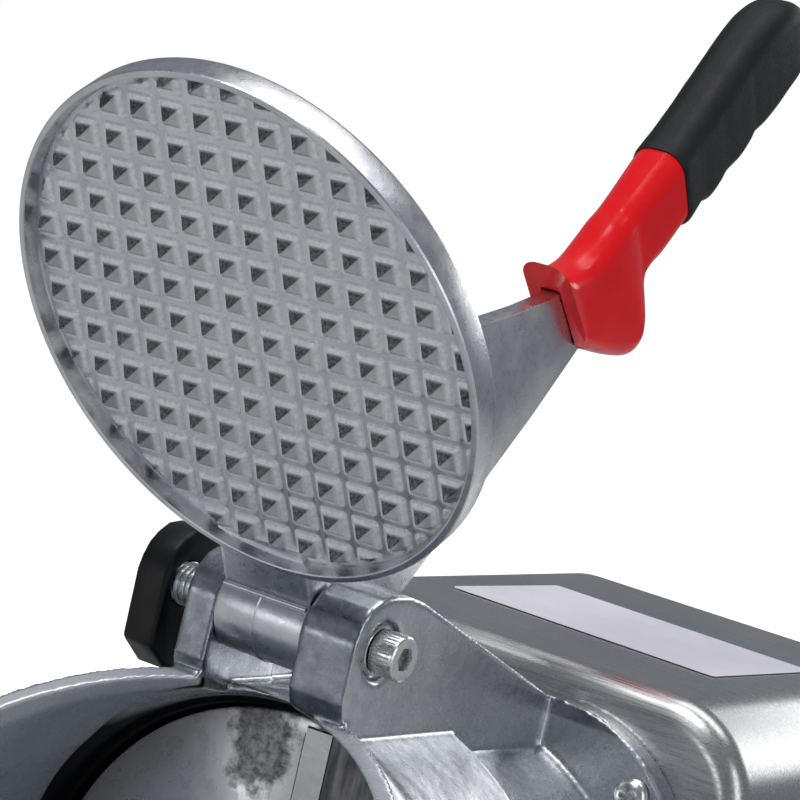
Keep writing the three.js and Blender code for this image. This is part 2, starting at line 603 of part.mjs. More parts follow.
function fan() {
  const { radius, front, back, blades, hubRadius, twist } = FAN;
  const bore = SHAFT.radius + 0.2;
  const hub = turnedY([[bore, front], [hubRadius - 2, front], [hubRadius, front + 2], [hubRadius, back],
    [bore, back]]);
  const root = hubRadius - 3;
  const vanes = Array.from({ length: blades }, (_, i) => {
    const geometry = new THREE.BoxGeometry(radius - root, 1.6, 15);
    geometry.rotateX(twist * DEGREE);
    geometry.translate((radius + root) / 2, (front + back) / 2, 0);
    geometry.rotateY((i / blades) * 2 * Math.PI);
    geometry.translate(0, 0, MOTOR_AXIS_Z);
    return solid(geometry);
  });
  return united([hub, ...vanes]).subtract(rodY(bore, front - 6, back + 6));
}

const turned = (body, angle) => {
  const about = new THREE.Matrix4().makeTranslation(0, 0, MOTOR_AXIS_Z);
  about.multiply(new THREE.Matrix4().makeRotationY(angle));
  about.multiply(new THREE.Matrix4().makeTranslation(0, 0, -MOTOR_AXIS_Z));
  return body.transform(about.elements);
};

const BLADE_SCREW_REACH = [30, 46];
const bladeScrewPlaces = () => BLADE_SCREW_REACH.map((reach) => [BLADE.screwX, MOTOR_AXIS_Z + reach]);

// A ramp runs down beside the blade to a slit that lets the shavings through.
function slotCuts() {
  const { left, slit, depth, inner, outer } = SLOT;
  const { front, back } = DISC;
  const right = BLADE.left - 0.01;
  const ramp = outline([[left, front - 1], [left, front], [slit, front + depth], [right, front + depth],
    [right, front - 1]]);
  const geometry = new THREE.ExtrudeGeometry(ramp, { depth: outer - inner, bevelEnabled: false });
  geometry.translate(0, 0, MOTOR_AXIS_Z + inner);
  const through = box(slit, right, front - 1, back + 1, MOTOR_AXIS_Z + inner, MOTOR_AXIS_Z + outer);
  return [solid(geometry), through];
}

function cutterDisc() {
  const { radius, front, back, hubRadius, hubBack } = DISC;
  const disc = turnedY([[0, front], [radius - 0.8, front], [radius, front + 0.8], [radius, back],
    [hubRadius, back], [hubRadius, hubBack], [0, hubBack]], 0, MOTOR_AXIS_Z, SEGMENTS_LARGE);
  const z = MOTOR_AXIS_Z;
  const [bladeLeft, bladeFloor] = [BLADE.left - 0.02, front + BLADE.thickness + CLEARANCE];
  const upper = [
    ...slotCuts(),
    box(bladeLeft, BLADE.right + CLEARANCE, front - 1, bladeFloor, z + BLADE.inner - CLEARANCE,
      z + BLADE.outer + CLEARANCE),
    ...screwHoles(bladeScrewPlaces(), 1.7, front - 1, back + 1),
  ];
  const cutters = [rodY(SHAFT.radius + 0.2, front + 1, hubBack + 1), rodY(NUT_BORE, front - 1, front + 3)];
  return without(disc, [...cutters, ...upper, ...upper.map((cutter) => turned(cutter, Math.PI))]);
}

function blade(angle) {
  const { left, right, inner, outer, lift, thickness } = BLADE;
  const [front, z] = [DISC.front - lift, MOTOR_AXIS_Z];
  const back = DISC.front + thickness;
  const section = outline([[left + 0.4, front], [right, DISC.front], [right, back], [left + 2.4, back]]);
  const geometry = new THREE.ExtrudeGeometry(section, { depth: outer - inner, bevelEnabled: false });
  geometry.translate(0, 0, z + inner);
  const holes = screwHoles(bladeScrewPlaces(), 1.9, front - 1, back + 1);
  const sinks = screwHoles(bladeScrewPlaces(), 3.4, front - 1, DISC.front + 1.1);
  return turned(without(solid(geometry), [...holes, ...sinks]), angle);
}

function bladeScrew(reach, angle) {
  const y = DISC.front - 0.3;
  const z = MOTOR_AXIS_Z + reach;
  const [headBack, x] = [DISC.front + 0.8, BLADE.screwX];
  const screw = turnedY([[0, y], [3, y], [3, headBack], [1.4, headBack], [1.4, DISC.back], [0, DISC.back]],
    x, z, SEGMENTS_SMALL);
  const slot = box(x - 0.4, x + 0.4, y - 1, y + 0.5, z - 3.2, z + 3.2);
  return turned(screw.subtract(slot), angle);
}

function discNut() {
  const geometry = new THREE.CylinderGeometry(10.9, 10.9, 7, 6);
  geometry.translate(0, DISC.front - CLEARANCE - 3.5, MOTOR_AXIS_Z);
  return solid(geometry).subtract(rodY(NUT_BORE, DISC.front - 12, DISC.front + 3));
}

function shaftSeal() {
  const [front, back] = [CHAMBER.back + 0.5, BULKHEAD_BACK - 0.5];
  const [bore, outside] = [SHAFT.radius + CLEARANCE, SEAL_BORE_RADIUS - 0.6];
  return turnedY([[bore, front], [outside, front], [outside, back], [bore, back]]);
}

function capacitor() {
  const { radius, front, back, x, z } = CAPACITOR;
  return turnedY([[0, front], [3, front], [3, front + 4], [radius - 1, front + 4], [radius, front + 5],
    [radius, back - 1], [radius - 1, back], [0, back]], x, z, 24);
}

function capacitorClamp() {
  const { radius, front, back, x, z } = CAPACITOR;
  const middle = (front + back) / 2 + 2;
  const floor = HOUSING_BOTTOM + HOUSING.wall + CLEARANCE;
  const ring = rodY(radius + 1.6, middle - 6, middle + 6, x, z, 24);
  const tab = box(x - 22, x - 4, middle - 6, middle + 6, floor, floor + 1.5);
  const leg = box(x - 6, x - 4, middle - 6, middle + 6, floor, z - 8);
  return united([ring, tab, leg]).subtract(rodY(radius + CLEARANCE, middle - 8, middle + 8, x, z, 24));
}

// ---------------------------------------------------------------- lid, in its own frame
// The lid's frame has its origin on the hinge axis.
function waffleField() {
  const reach = PLATE.radius - PLATE.lipWidth - 5.4;
  const { offsetX, offsetZ, pitch, base, height } = PYRAMID;
  const half = base / 2;
  const deep = 1;
  const solids = [];
  const turn = new THREE.Matrix4().makeRotationY(PYRAMID.turn * DEGREE);
  for (let i = -8; i <= 8; i += 1) {
    for (let j = -8; j <= 8; j += 1) {
      const place = new THREE.Vector3(offsetX + i * pitch, 0, offsetZ + j * pitch);
      place.applyMatrix4(turn);
      if (Math.hypot(place.x, place.z) > reach) continue;
      const spread = half * Math.SQRT2 * (1 + deep / height);
      const geometry = new THREE.ConeGeometry(spread, height + deep, 4, 1);
      geometry.rotateY(Math.PI / 4);
      geometry.rotateX(Math.PI);
      geometry.rotateY(PYRAMID.turn * DEGREE);
      geometry.translate(place.x, PLATE.floor + deep - (height + deep) / 2, place.z + PLATE.up);
      solids.push(solid(geometry));
    }
  }
  return solids;
}

function armOutline() {
  return outline([[-2, 30], [-2, 112], [6, 100], [16, 86], [30, 73], [46, 63], [66, 54.5], [96, 44.5],
    [115, 38.5], [128, 35.2], [140, 34.4], [152, 34.8], [250, 61], [252.6, 51], [146, 20.5], [140, 11],
    [114, 2], [80, -8], [46, -17.5], [30, -18.5], [16, -16], [4, -11]]);
}

// The inside of the two handle sleeves, a little larger than the tang.
function tangPocket() {
  const pocket = outline([[100, 44], [115, 39.2], [128, 36], [140, 35.2], [152, 35.6], [251, 62],
    [254, 50.6], [146.6, 20], [140.8, 10.6], [120, 3]]);
  return slabX(pocket, ARM.left - CLEARANCE, ARM.right + CLEARANCE);
}

function pressurePlate() {
  const { radius, up, lipFront, back, lipWidth, floor } = PLATE;
  const disc = turnedY([[0, floor], [radius - lipWidth - 0.6, floor], [radius - lipWidth, lipFront],
    [radius - 0.6, lipFront], [radius, lipFront + 0.6], [radius, back], [0, back]], 0, up, SEGMENTS_LARGE);
  const knuckle = rodX(KNUCKLE.radius, KNUCKLE.left, KNUCKLE.right, 0, 0);
  const web = box(KNUCKLE.left, KNUCKLE.right, KNUCKLE.webFront, KNUCKLE.webBack, 0, 30);
  const arm = slabX(armOutline(), ARM.left, ARM.right);
  const body = united([disc, ...waffleField(), knuckle, web, arm]);
  const cutters = [
    rodX(5.4, KNUCKLE.left - 1, -11, 0, 0, SEGMENTS_SMALL),
    rodX(4.4, -8, KNUCKLE.right + 1, 0, 0, SEGMENTS_SMALL),
  ];
  return without(body, cutters);
}

// A rounded section of a handle. It spans from an upper to a lower point of the side view.
function handleSection([top, bottom, halfWidth], middleX) {
  const [upper, lower] = [new THREE.Vector3(0, ...top), new THREE.Vector3(0, ...bottom)];
  const middle = upper.clone().add(lower).multiplyScalar(0.5);
  const along = upper.clone().sub(lower);
  const halfLength = along.length() / 2;
  along.normalize();
  const shape = roundedRectangle(halfWidth, halfLength, Math.min(halfWidth, halfLength) * 0.72);
  return shape.getPoints(2).slice(0, -1).map((p) => new THREE.Vector3(middleX + p.x, 0, 0)
    .add(middle).addScaledVector(along, p.y));
}

const handleBody = (stations, middleX) => loft(stations.map((station) => handleSection(station, middleX)));

// Stations from the flared mouth, over the finger guard, to the joint with the grip.
function handleGuard() {
  const stations = [
    [[129, 46], [137.4, 14.5], 8], [[137, 40], [144, 8.4], 8], [[146, 39], [152.6, 2.2], 8],
    [[156, 41], [162.4, -2.8], 7.6], [[163, 43], [170, -0.6], 7.6], [[167, 44], [172.8, 8], 8],
    [[171, 45], [174, 17.4], 8], [[180, 47.6], [182.6, 21.4], 8], [[191.4, 50.8], [193, 25.6], 8],
  ];
  return handleBody(stations, (GUARD.left + GUARD.right) / 2).subtract(tangPocket());
}

// The grip's underside has shallow finger waves, and its end is domed.
function handleGrip() {
  const stations = [
    [[192, 51.2], [193.6, 25.8], 8.8], [[194, 52.4], [195.6, 25.4], 9.5], [[203, 55], [204.6, 27.6], 9.5],
    [[212, 58], [213.5, 28.2], 9.5], [[221, 61.2], [222.6, 32.2], 9.5], [[230, 64.6], [232.4, 33], 9.5],
    [[238, 67.4], [240, 36.8], 9.5], [[246, 70], [248.6, 38.6], 9.5], [[254, 71.6], [256.6, 40.2], 9.5],
    [[262, 71.4], [264.6, 43], 9.2], [[268.4, 69], [270.6, 46.4], 8.2], [[273.6, 64.6], [275, 51.2], 5.6],
  ];
  return handleBody(stations, (GRIP.left + GRIP.right) / 2).subtract(tangPocket());
}

// ---------------------------------------------------------------- hinge hardware
const BOLT = { head: 26.4, headEnd: 34.4, headRadius: 6.5, shankRadius: 4, end: -7 };

function hingeBolt() {
  const { head, headEnd, headRadius, shankRadius, end } = BOLT;
  const shank = rodX(shankRadius, end, head + 1, HINGE.y, HINGE.z, SEGMENTS_SMALL);
  const cap = rodX(headRadius, head, headEnd, HINGE.y, HINGE.z, SEGMENTS_MEDIUM);
  const socket = new THREE.CylinderGeometry(3.46, 3.46, 10, 6);
  socket.rotateZ(Math.PI / 2);
  socket.translate(headEnd + 0.6, HINGE.y, HINGE.z);
  return without(shank.add(cap), [solid(socket)]);
}

function hingeWasher() {
  const ring = rodX(7, 24.6, BOLT.head - CLEARANCE, HINGE.y, HINGE.z);
  return ring.subtract(rodX(4.3, 20, 30, HINGE.y, HINGE.z));
}

const STUD = { threadRadius: 6.4, spigotRadius: 5, threadEnd: -22.8, spigotEnd: -12, knobEnd: -48 };
const KNOB = { left: -53, right: -42, boreRadius: 6.8 };

function clampStud() {
  const thread = rodX(STUD.threadRadius, STUD.knobEnd, STUD.threadEnd, HINGE.y, HINGE.z, 24);
  return thread.add(rodX(STUD.spigotRadius, STUD.threadEnd - 1, STUD.spigotEnd, HINGE.y, HINGE.z, 24));
}

function clampKnob() {
  const shape = outline([[-69, 199], [-78, 206], [-78, 226], [-77, 230], [-75, 234], [-72, 237],
    [-68, 239.4], [-63, 240], [-57, 238.4], [-52, 234.6], [-48.6, 229], [-48, 224], [-48, 207],
    [-52, 200.6], [-56, 199]]);
  return slabX(shape, KNOB.left, KNOB.right, 1.5).subtract(
    rodX(KNOB.boreRadius, STUD.knobEnd - 0.5, KNOB.right + 1, HINGE.y, HINGE.z, 24));
}

// ---------------------------------------------------------------- assembly
const machine = new THREE.Group();

function addHopper() {
  machine.add(named('hopper_casting', hopperCasting(), CAST_ALUMINIUM()));
  flangeScrewPlaces().forEach(([x, z], i) => {
    const { headHeight, headRadius, shankRadius } = FLANGE_SCREW;
    const front = FLANGE.front - CLEARANCE - headHeight;
    const screw = panScrewY(x, z, front, headHeight, headRadius, shankRadius, MOTOR_PLATE.back + 3);
    machine.add(named(`flange_screw_${i + 1}`, screw, ZINC_STEEL()));
  });
  machine.add(named('ice_chute', chute(), STAINLESS()));
  CHUTE_SCREW_X.forEach((x, i) => {
    const front = OUTLET.front - OUTLET.wall - CLEARANCE * 2 - CHUTE.thickness - 2;
    const screw = panScrewY(x, CHUTE_SCREW_Z, front, 2, 3.4, 1.5, OUTLET.front + 0.5);
    machine.add(named(`chute_screw_${i + 1}`, screw, ZINC_STEEL()));
  });
}

function addHousing() {
  machine.add(named('housing_shell', housingShell(), STAINLESS()));
  machine.add(named('rating_label', ratingLabel(), LABEL_FILM()));
  machine.add(named('rear_cover', rearCover(), STAINLESS()));
  coverScrewPlaces().forEach(([x, z], i) => {
    machine.add(named(`cover_screw_${i + 1}`, coverScrew(x, z), ZINC_STEEL()));
  });
  machine.add(named('switch_body', switchBody(), BLACK_PLASTIC()));
  machine.add(named('switch_rocker', rocker(), RED_PLASTIC()));
  machine.add(named('cord_gland', cordGland(), BLACK_PLASTIC()));
  footPlaces().forEach(([x, y], i) => {
    machine.add(named(`rubber_foot_${i + 1}`, rubberFoot(x, y), BLACK_RUBBER()));
    machine.add(named(`foot_screw_${i + 1}`, footScrew(x, y), ZINC_STEEL()));
  });
}

function addMotor() {
  const { stackFront, stackBack, bellFront, bellBack } = MOTOR;
  machine.add(named('motor_plate', motorPlate(), PAINTED_STEEL()));
  machine.add(named('motor_front_bell', frontBell(), CAST_ALUMINIUM()));
  machine.add(named('motor_rear_bell', rearBell(), CAST_ALUMINIUM()));
  machine.add(named('motor_stator', stator(), LAMINATION_STEEL()));
  machine.add(named('winding_front', endWinding(stackFront - 13, stackFront - CLEARANCE), COPPER()));
  machine.add(named('winding_rear', endWinding(stackBack + CLEARANCE, stackBack + 11), COPPER()));
  machine.add(named('front_bearing', bearing(bellFront + 4.3), ZINC_STEEL()));
  machine.add(named('rear_bearing', bearing(bellBack - 3.3 - BEARING.width), ZINC_STEEL()));
  machine.add(named('motor_rotor', rotor(), LAMINATION_STEEL()));
  machine.add(named('motor_shaft', motorShaft(), ZINC_STEEL()));
  machine.add(named('cooling_fan', fan(), BLACK_PLASTIC()));
  machine.add(named('shaft_seal', shaftSeal(), BLACK_RUBBER()));
  machine.add(named('run_capacitor', capacitor(), NATURAL_NYLON()));
  machine.add(named('capacitor_clamp', capacitorClamp(), ZINC_STEEL()));
}

function addCutter() {
  machine.add(named('cutter_disc', cutterDisc(), CAST_ALUMINIUM()));
  machine.add(named('disc_nut', discNut(), ZINC_STEEL()));
  [0, Math.PI].forEach((angle, i) => {
    machine.add(named(`blade_${i + 1}`, blade(angle), STAINLESS()));
    BLADE_SCREW_REACH.forEach((reach, j) => {
      machine.add(named(`blade_screw_${2 * i + j + 1}`, bladeScrew(reach, angle), ZINC_STEEL()));
    });
  });
}

function addLid() {
  const lid = new THREE.Group();
  lid.position.set(0, HINGE.y, HINGE.z);
  lid.rotation.x = LID_LEAN * DEGREE;
  lid.add(named('pressure_plate', pressurePlate(), CAST_ALUMINIUM()));
  lid.add(named('handle_guard', handleGuard(), RED_VINYL()));
  lid.add(named('handle_grip', handleGrip(), BLACK_RUBBER()));
  machine.add(lid);
  machine.add(named('hinge_bolt', hingeBolt(), ZINC_STEEL()));
  machine.add(named('hinge_washer', hingeWasher(), ZINC_STEEL()));
  machine.add(named('clamp_stud', clampStud(), ZINC_STEEL()));
  machine.add(named('clamp_knob', clampKnob(), BLACK_PLASTIC()));
}

addHopper();
addHousing();
addMotor();
addCutter();
addLid();

export default machine;
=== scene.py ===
"""Countertop electric ice shaver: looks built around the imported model, in metres, in its frame."""
import json
import math

import bmesh
import bpy
import numpy as np
from mathutils import Matrix, Vector


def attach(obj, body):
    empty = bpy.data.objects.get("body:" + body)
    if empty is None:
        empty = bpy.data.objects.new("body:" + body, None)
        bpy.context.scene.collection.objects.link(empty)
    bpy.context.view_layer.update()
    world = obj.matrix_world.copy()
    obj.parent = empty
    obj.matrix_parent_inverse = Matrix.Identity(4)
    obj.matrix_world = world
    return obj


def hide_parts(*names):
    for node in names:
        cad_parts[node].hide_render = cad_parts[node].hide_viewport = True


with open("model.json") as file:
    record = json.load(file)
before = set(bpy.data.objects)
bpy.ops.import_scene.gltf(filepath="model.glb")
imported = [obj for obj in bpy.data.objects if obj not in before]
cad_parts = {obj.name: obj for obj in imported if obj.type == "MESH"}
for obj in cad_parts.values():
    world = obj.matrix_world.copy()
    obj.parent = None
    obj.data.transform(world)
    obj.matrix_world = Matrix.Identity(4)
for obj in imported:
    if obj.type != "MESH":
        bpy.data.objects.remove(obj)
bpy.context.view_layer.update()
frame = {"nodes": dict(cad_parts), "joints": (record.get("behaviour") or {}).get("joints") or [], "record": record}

MM = 0.001

# ---------------- places, in millimetres
HINGE = Vector(frame["joints"][0]["pos_m"]) / MM
AXIS_Z = frame["joints"][2]["pos_m"][2] / MM
LID_LEAN = 31.6          # degrees that the open lid leans forward
LID_PRESSED = 141        # degrees from there to the fully pressed lid
MOUTH = Vector((0, -141.24, 157.6))
MOUTH_TILT = 53.13       # degrees that the slanted mouth leans from upright
CUT_TILT = 29            # degrees at which the machined part of the elbow ends
PIVOT = Vector((0, -70, 203.95))  # the elbow's sections swing about this line
MOUTH_UP = (math.sin(math.radians(MOUTH_TILT)), math.cos(math.radians(MOUTH_TILT)))
MOUTH_REACH = (PIVOT.y - MOUTH.y) * MOUTH_UP[0] + (PIVOT.z - MOUTH.z) * MOUTH_UP[1]
DRUM_REACH = PIVOT.z - AXIS_Z
MACHINED_REACH = 77.9    # from the middle of the mouth up to where its machined wall starts to turn
PLATE_UP = 98.75         # from the hinge to the middle of the plate
AT_HINGE = (0, HINGE.y, HINGE.z)
ON_AXIS = (0, 0, AXIS_Z)
HOUSING_Z = 118          # middle height of the housing
CHUTE_SCREWS = [(x, 28.5) for x in (-30, 30)]
GLAND = (-45, 48)
ROCKER = (45, 194.5, 60)
ROCKER_REST = 9          # degrees that the switched-off rocker leans
THREAD_PITCH = 1.75
BLADE_SCREW_X = 4.8
CAMERA_PLACE = Vector((522.0, -852.5, 394.9))
CAMERA_TURN = (32.91, 6.30, 12.83)  # degrees round the object, above level, and of roll


def turns(count):
    """The angles that divide a full turn evenly."""
    return [2 * math.pi * i / count for i in range(count)]


# ---------------- mesh helpers, in millimetres
def new_object(name, verts, faces):
    mesh = bpy.data.meshes.new(name)
    mesh.from_pydata([Vector(v) * MM for v in verts], [], faces)
    mesh.validate()
    mesh.update()
    obj = bpy.data.objects.new(name, mesh)
    bpy.context.scene.collection.objects.link(obj)
    return fixed_normals(obj)


def fixed_normals(obj):
    bm = bmesh.new()
    bm.from_mesh(obj.data)
    bmesh.ops.remove_doubles(bm, verts=bm.verts, dist=1e-7)
    bmesh.ops.recalc_face_normals(bm, faces=bm.faces)
    if bm.calc_volume(signed=True) < 0:
        bmesh.ops.reverse_faces(bm, faces=bm.faces)
    bm.to_mesh(obj.data)
    bm.free()
    return obj


def loft(name, rings):
    """A solid through rings with equally many points, closed at both ends."""
    count = len(rings[0])
    verts = [p for ring in rings for p in ring]
    faces = []
    for r in range(len(rings) - 1):
        for i in range(count):
            j = (i + 1) % count
            faces.append((r * count + i, r * count + j, (r + 1) * count + j, (r + 1) * count + i))
    faces.append(tuple(reversed(range(count))))
    last = (len(rings) - 1) * count
    faces.append(tuple(range(last, last + count)))
    return new_object(name, verts, faces)


def turned(name, profile, centre, axis="Y", segments=96, lean=None):
    """A body of revolution; profile is a closed outline of (radius, place along the axis).

    lean, where given, says how far a place shifts along the axis at an angle.
    """
    rings = []
    for angle in turns(segments):
        ring = []
        for radius, along in profile:
            if lean:
                along += lean(along, angle)
            u, v = radius * math.cos(angle), radius * math.sin(angle)
            local = {"X": (along, u, v), "Y": (u, along, v), "Z": (u, v, along)}[axis]
            ring.append(tuple(a + b for a, b in zip(local, centre)))
        rings.append(ring)
    verts = [p for ring in rings for p in ring]
    count = len(profile)
    faces = []
    for i in range(segments):
        j = (i + 1) % segments
        for k in range(count):
            m = (k + 1) % count
            if profile[k][0] < 1e-6 and profile[m][0] < 1e-6:
                continue
            faces.append((i * count + k, i * count + m, j * count + m, j * count + k))
    return new_object(name, verts, faces)


def rod(name, radius, start, end, centre, axis="X", segments=64):
    return turned(name, [(0, start), (radius, start), (radius, end), (0, end)], centre, axis, segments)


def box(name, x0, x1, y0, y1, z0, z1):
    verts = [(x, y, z) for x in (x0, x1) for y in (y0, y1) for z in (z0, z1)]
    faces = [(0, 1, 3, 2), (4, 6, 7, 5), (0, 4, 5, 1), (2, 3, 7, 6), (0, 2, 6, 4), (1, 5, 7, 3)]
    return new_object(name, verts, faces)


def slab(name, outline, x0, x1):
    """An outline in Y and Z, run along X."""
    count = len(outline)
    verts = [(x, y, z) for x in (x0, x1) for y, z in outline]
    faces = [tuple(range(count)), tuple(range(2 * count - 1, count - 1, -1))]
    faces += [(i, (i + 1) % count, (i + 1) % count + count, i + count) for i in range(count)]
    return new_object(name, verts, faces)


def settled(obj):
    """The object's mesh with its modifiers applied."""
    graph = bpy.context.evaluated_depsgraph_get()
    mesh = bpy.data.meshes.new_from_object(obj.evaluated_get(graph))
    old = obj.data
    obj.modifiers.clear()
    obj.data = mesh
    bpy.data.meshes.remove(old)
    return obj


def joined(base, others, operation):
    for other in others:
        mod = base.modifiers.new("cut", "BOOLEAN")
        mod.operation = operation
        mod.solver = "MANIFOLD"
        mod.object = other
        settled(base)
        bpy.data.objects.remove(other)
    return base


def united(base, others):
    return joined(base, others, "UNION")


def carved(base, others):
    return joined(base, others, "DIFFERENCE")


def cast_skin(obj, voxel, rounds=4, factor=0.5):
    """Rounds every edge a little, as sand casting and tumbling do."""
    mod = obj.modifiers.new("skin", "REMESH")
    mod.mode = "VOXEL"
    mod.voxel_size = voxel * MM
    mod.use_smooth_shade = True
    soft = obj.modifiers.new("soft", "SMOOTH")
    soft.factor = factor
    soft.iterations = rounds
    return settled(obj)


def bevelled(obj, width, segments=2, angle=30):
    mod = obj.modifiers.new("edge", "BEVEL")
    mod.width = width * MM
    mod.segments = segments
    mod.limit_method = "ANGLE"
    mod.angle_limit = math.radians(angle)
    mod.harden_normals = False
    return settled(obj)


def smooth(obj, angle=35):
    """Smooth shading, with sharp edges where faces meet at more than angle."""
    obj.data.shade_smooth()
    sharp = math.radians(angle)
    bm = bmesh.new()
    bm.from_mesh(obj.data)
    for edge in bm.edges:
        edge.smooth = len(edge.link_faces) == 2 and edge.calc_face_angle(0) < sharp
    bm.to_mesh(obj.data)
    bm.free()
    return obj


def piece(obj, body, slot, material, *nodes):
    obj.data.materials.clear()
    obj.data.materials.append(material)
    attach(obj, body)
    if nodes:
        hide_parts(*nodes)
    return obj


# ---------------- material helpers
class Nodes:
    """Builds one material's nodes, all in object coordinates, so that grain stays on the piece."""

    def __init__(self, name, colour, roughness, metallic=0.0):
        self.material = bpy.data.materials.new(name)
        self.material.use_nodes = True
        self.tree = self.material.node_tree
        self.shader = self.tree.nodes["Principled BSDF"]
        self.shader.inputs["Base Color"].default_value = (*colour, 1)
        self.shader.inputs["Roughness"].default_value = roughness
        self.shader.inputs["Metallic"].default_value = metallic
        self.place = self.add("ShaderNodeTexCoord").outputs["Object"]
        self.height = None

    def add(self, kind, **values):
        node = self.tree.nodes.new(kind)
        for key, value in values.items():
            setattr(node, key, value)
        return node

    def link(self, start, end):
        self.tree.links.new(start, end)

    def stretched(self, scale):
        node = self.add("ShaderNodeMapping")
        node.inputs["Scale"].default_value = scale
        self.link(self.place, node.inputs["Vector"])
        return node.outputs["Vector"]

    def noise(self, size_mm, detail=4.0, rough=0.55, stretch=(1, 1, 1)):
        node = self.add("ShaderNodeTexNoise")
        node.inputs["Scale"].default_value = 1000.0 / size_mm
        node.inputs["Detail"].default_value = detail
        node.inputs["Roughness"].default_value = rough
        self.link(self.stretched(stretch), node.inputs["Vector"])
        return node.outputs["Fac"]

    def spread(self, source, low, high, from_low=0.3, from_high=0.7):
        node = self.add("ShaderNodeMapRange")
        limits = {"From Min": from_low, "From Max": from_high, "To Min": low, "To Max": high}
        for key, value in limits.items():
            node.inputs[key].default_value = value
        self.link(source, node.inputs["Value"])
        return node.outputs["Result"]

    def tones(self, source, *stops):
        node = self.add("ShaderNodeValToRGB")
        ramp = node.color_ramp
        while len(ramp.elements) < len(stops):
            ramp.elements.new(0.5)
        for element, (place, colour) in zip(ramp.elements, stops):
            element.position = place
            element.color = (*colour, 1)
        self.link(source, node.inputs["Fac"])
        return node.outputs["Color"]

    def maths(self, operation, first, second=None):
        node = self.add("ShaderNodeMath", operation=operation)
        for socket, value in zip(node.inputs, (first, second)):
            if isinstance(value, (int, float)):
                socket.default_value = value
            elif value is not None:
                self.link(value, socket)
        return node.outputs["Value"]

    def square(self, source):
        return self.times(source, source)

    def length(self, first, second):
        return self.maths("SQRT", self.plus(self.square(first), self.square(second)))

    def times(self, first, second):
        return self.maths("MULTIPLY", first, second)

    def plus(self, first, second):
        return self.maths("ADD", first, second)

    def minus(self, first, second):
        return self.maths("SUBTRACT", first, second)

    def axes(self, source=None):
        node = self.add("ShaderNodeSeparateXYZ")
        self.link(source or self.place, node.inputs["Vector"])
        return [node.outputs[key] for key in "XYZ"]

    def mixed(self, share, first, second):
        """The first colour where share is 0 and the second where it is 1."""
        node = self.add("ShaderNodeMixRGB")
        for key, value in (("Fac", share), ("Color1", first), ("Color2", second)):
            if isinstance(value, tuple):
                node.inputs[key].default_value = (*value, 1)
            else:
                self.link(value, node.inputs[key])
        return node.outputs["Color"]

    def metallic(self, source):
        self.link(source, self.shader.inputs["Metallic"])

    def colour(self, source):
        self.link(source, self.shader.inputs["Base Color"])

    def roughness(self, source):
        self.link(source, self.shader.inputs["Roughness"])

    def bump(self, source, depth_mm, strength=1.0):
        node = self.add("ShaderNodeBump")
        node.inputs["Distance"].default_value = depth_mm * MM
        node.inputs["Strength"].default_value = strength
        self.link(source, node.inputs["Height"])
        if self.height is not None:
            self.link(self.height, node.inputs["Normal"])
        self.height = node.outputs["Normal"]
        self.link(self.height, self.shader.inputs["Normal"])


def cast_aluminium(name="cast_aluminium", base=0.62, polish=0.26, grain=0.10):
    n = Nodes(name, (base, base, base * 1.02), polish, 1.0)
    dull = tuple(base * f for f in (0.80, 0.82, 0.86))
    bright = tuple(base * f for f in (1.12, 1.12, 1.13))
    n.colour(n.tones(n.noise(22, 5.0, 0.6), (0.25, dull), (0.75, bright)))
    n.roughness(n.spread(n.noise(3.5, 5.0, 0.65), polish - 0.07, polish + 0.16))
    n.bump(n.noise(9, 3.0, 0.5), 0.35, 0.5)
    n.bump(n.noise(1.1, 4.0, 0.65), grain, 0.5)
    return n.material


def satin_stainless(name="stainless_steel"):
    n = Nodes(name, (0.60, 0.60, 0.60), 0.27, 1.0)
    lines = n.noise(0.5, 2.0, 0.6, (0.02, 1, 1))
    n.colour(n.tones(n.noise(60, 3.0), (0.3, (0.50, 0.50, 0.50)), (0.7, (0.62, 0.62, 0.61))))
    n.roughness(n.spread(lines, 0.20, 0.36))
    n.bump(lines, 0.008, 0.2)
    n.bump(n.noise(55, 2.0), 0.2, 0.2)
    return n.material


def zinc(name="zinc_steel", tint=(0.78, 0.80, 0.78)):
    n = Nodes(name, tint, 0.22, 1.0)
    warm = tuple(c * f for c, f in zip(tint, (1.06, 1.02, 0.93)))
    cool = tuple(c * f for c, f in zip(tint, (0.82, 0.86, 0.92)))
    n.colour(n.tones(n.noise(4, 4.0), (0.3, cool), (0.7, warm)))
    n.roughness(n.spread(n.noise(0.8, 4.0), 0.15, 0.36))
    n.bump(n.noise(0.6, 3.0), 0.02, 0.5)
    return n.material


def plastic(name, colour, roughness, grain_mm=0.35, depth=0.03, coat=0.0, wear=0.10, specular=0.5):
    n = Nodes(name, colour, roughness)
    light = tuple(min(1.0, c * (1 + wear) + wear * 0.02) for c in colour)
    dark = tuple(c * (1 - wear) for c in colour)
    n.colour(n.tones(n.noise(14, 4.0), (0.3, dark), (0.7, light)))
    n.roughness(n.spread(n.noise(5, 4.0), roughness - 0.05, roughness + 0.07))
    n.bump(n.noise(grain_mm, 3.0), depth, 0.6)
    n.shader.inputs["Specular IOR Level"].default_value = specular
    n.shader.inputs["Coat Weight"].default_value = coat
    n.shader.inputs["Coat Roughness"].default_value = 0.06
    return n.material


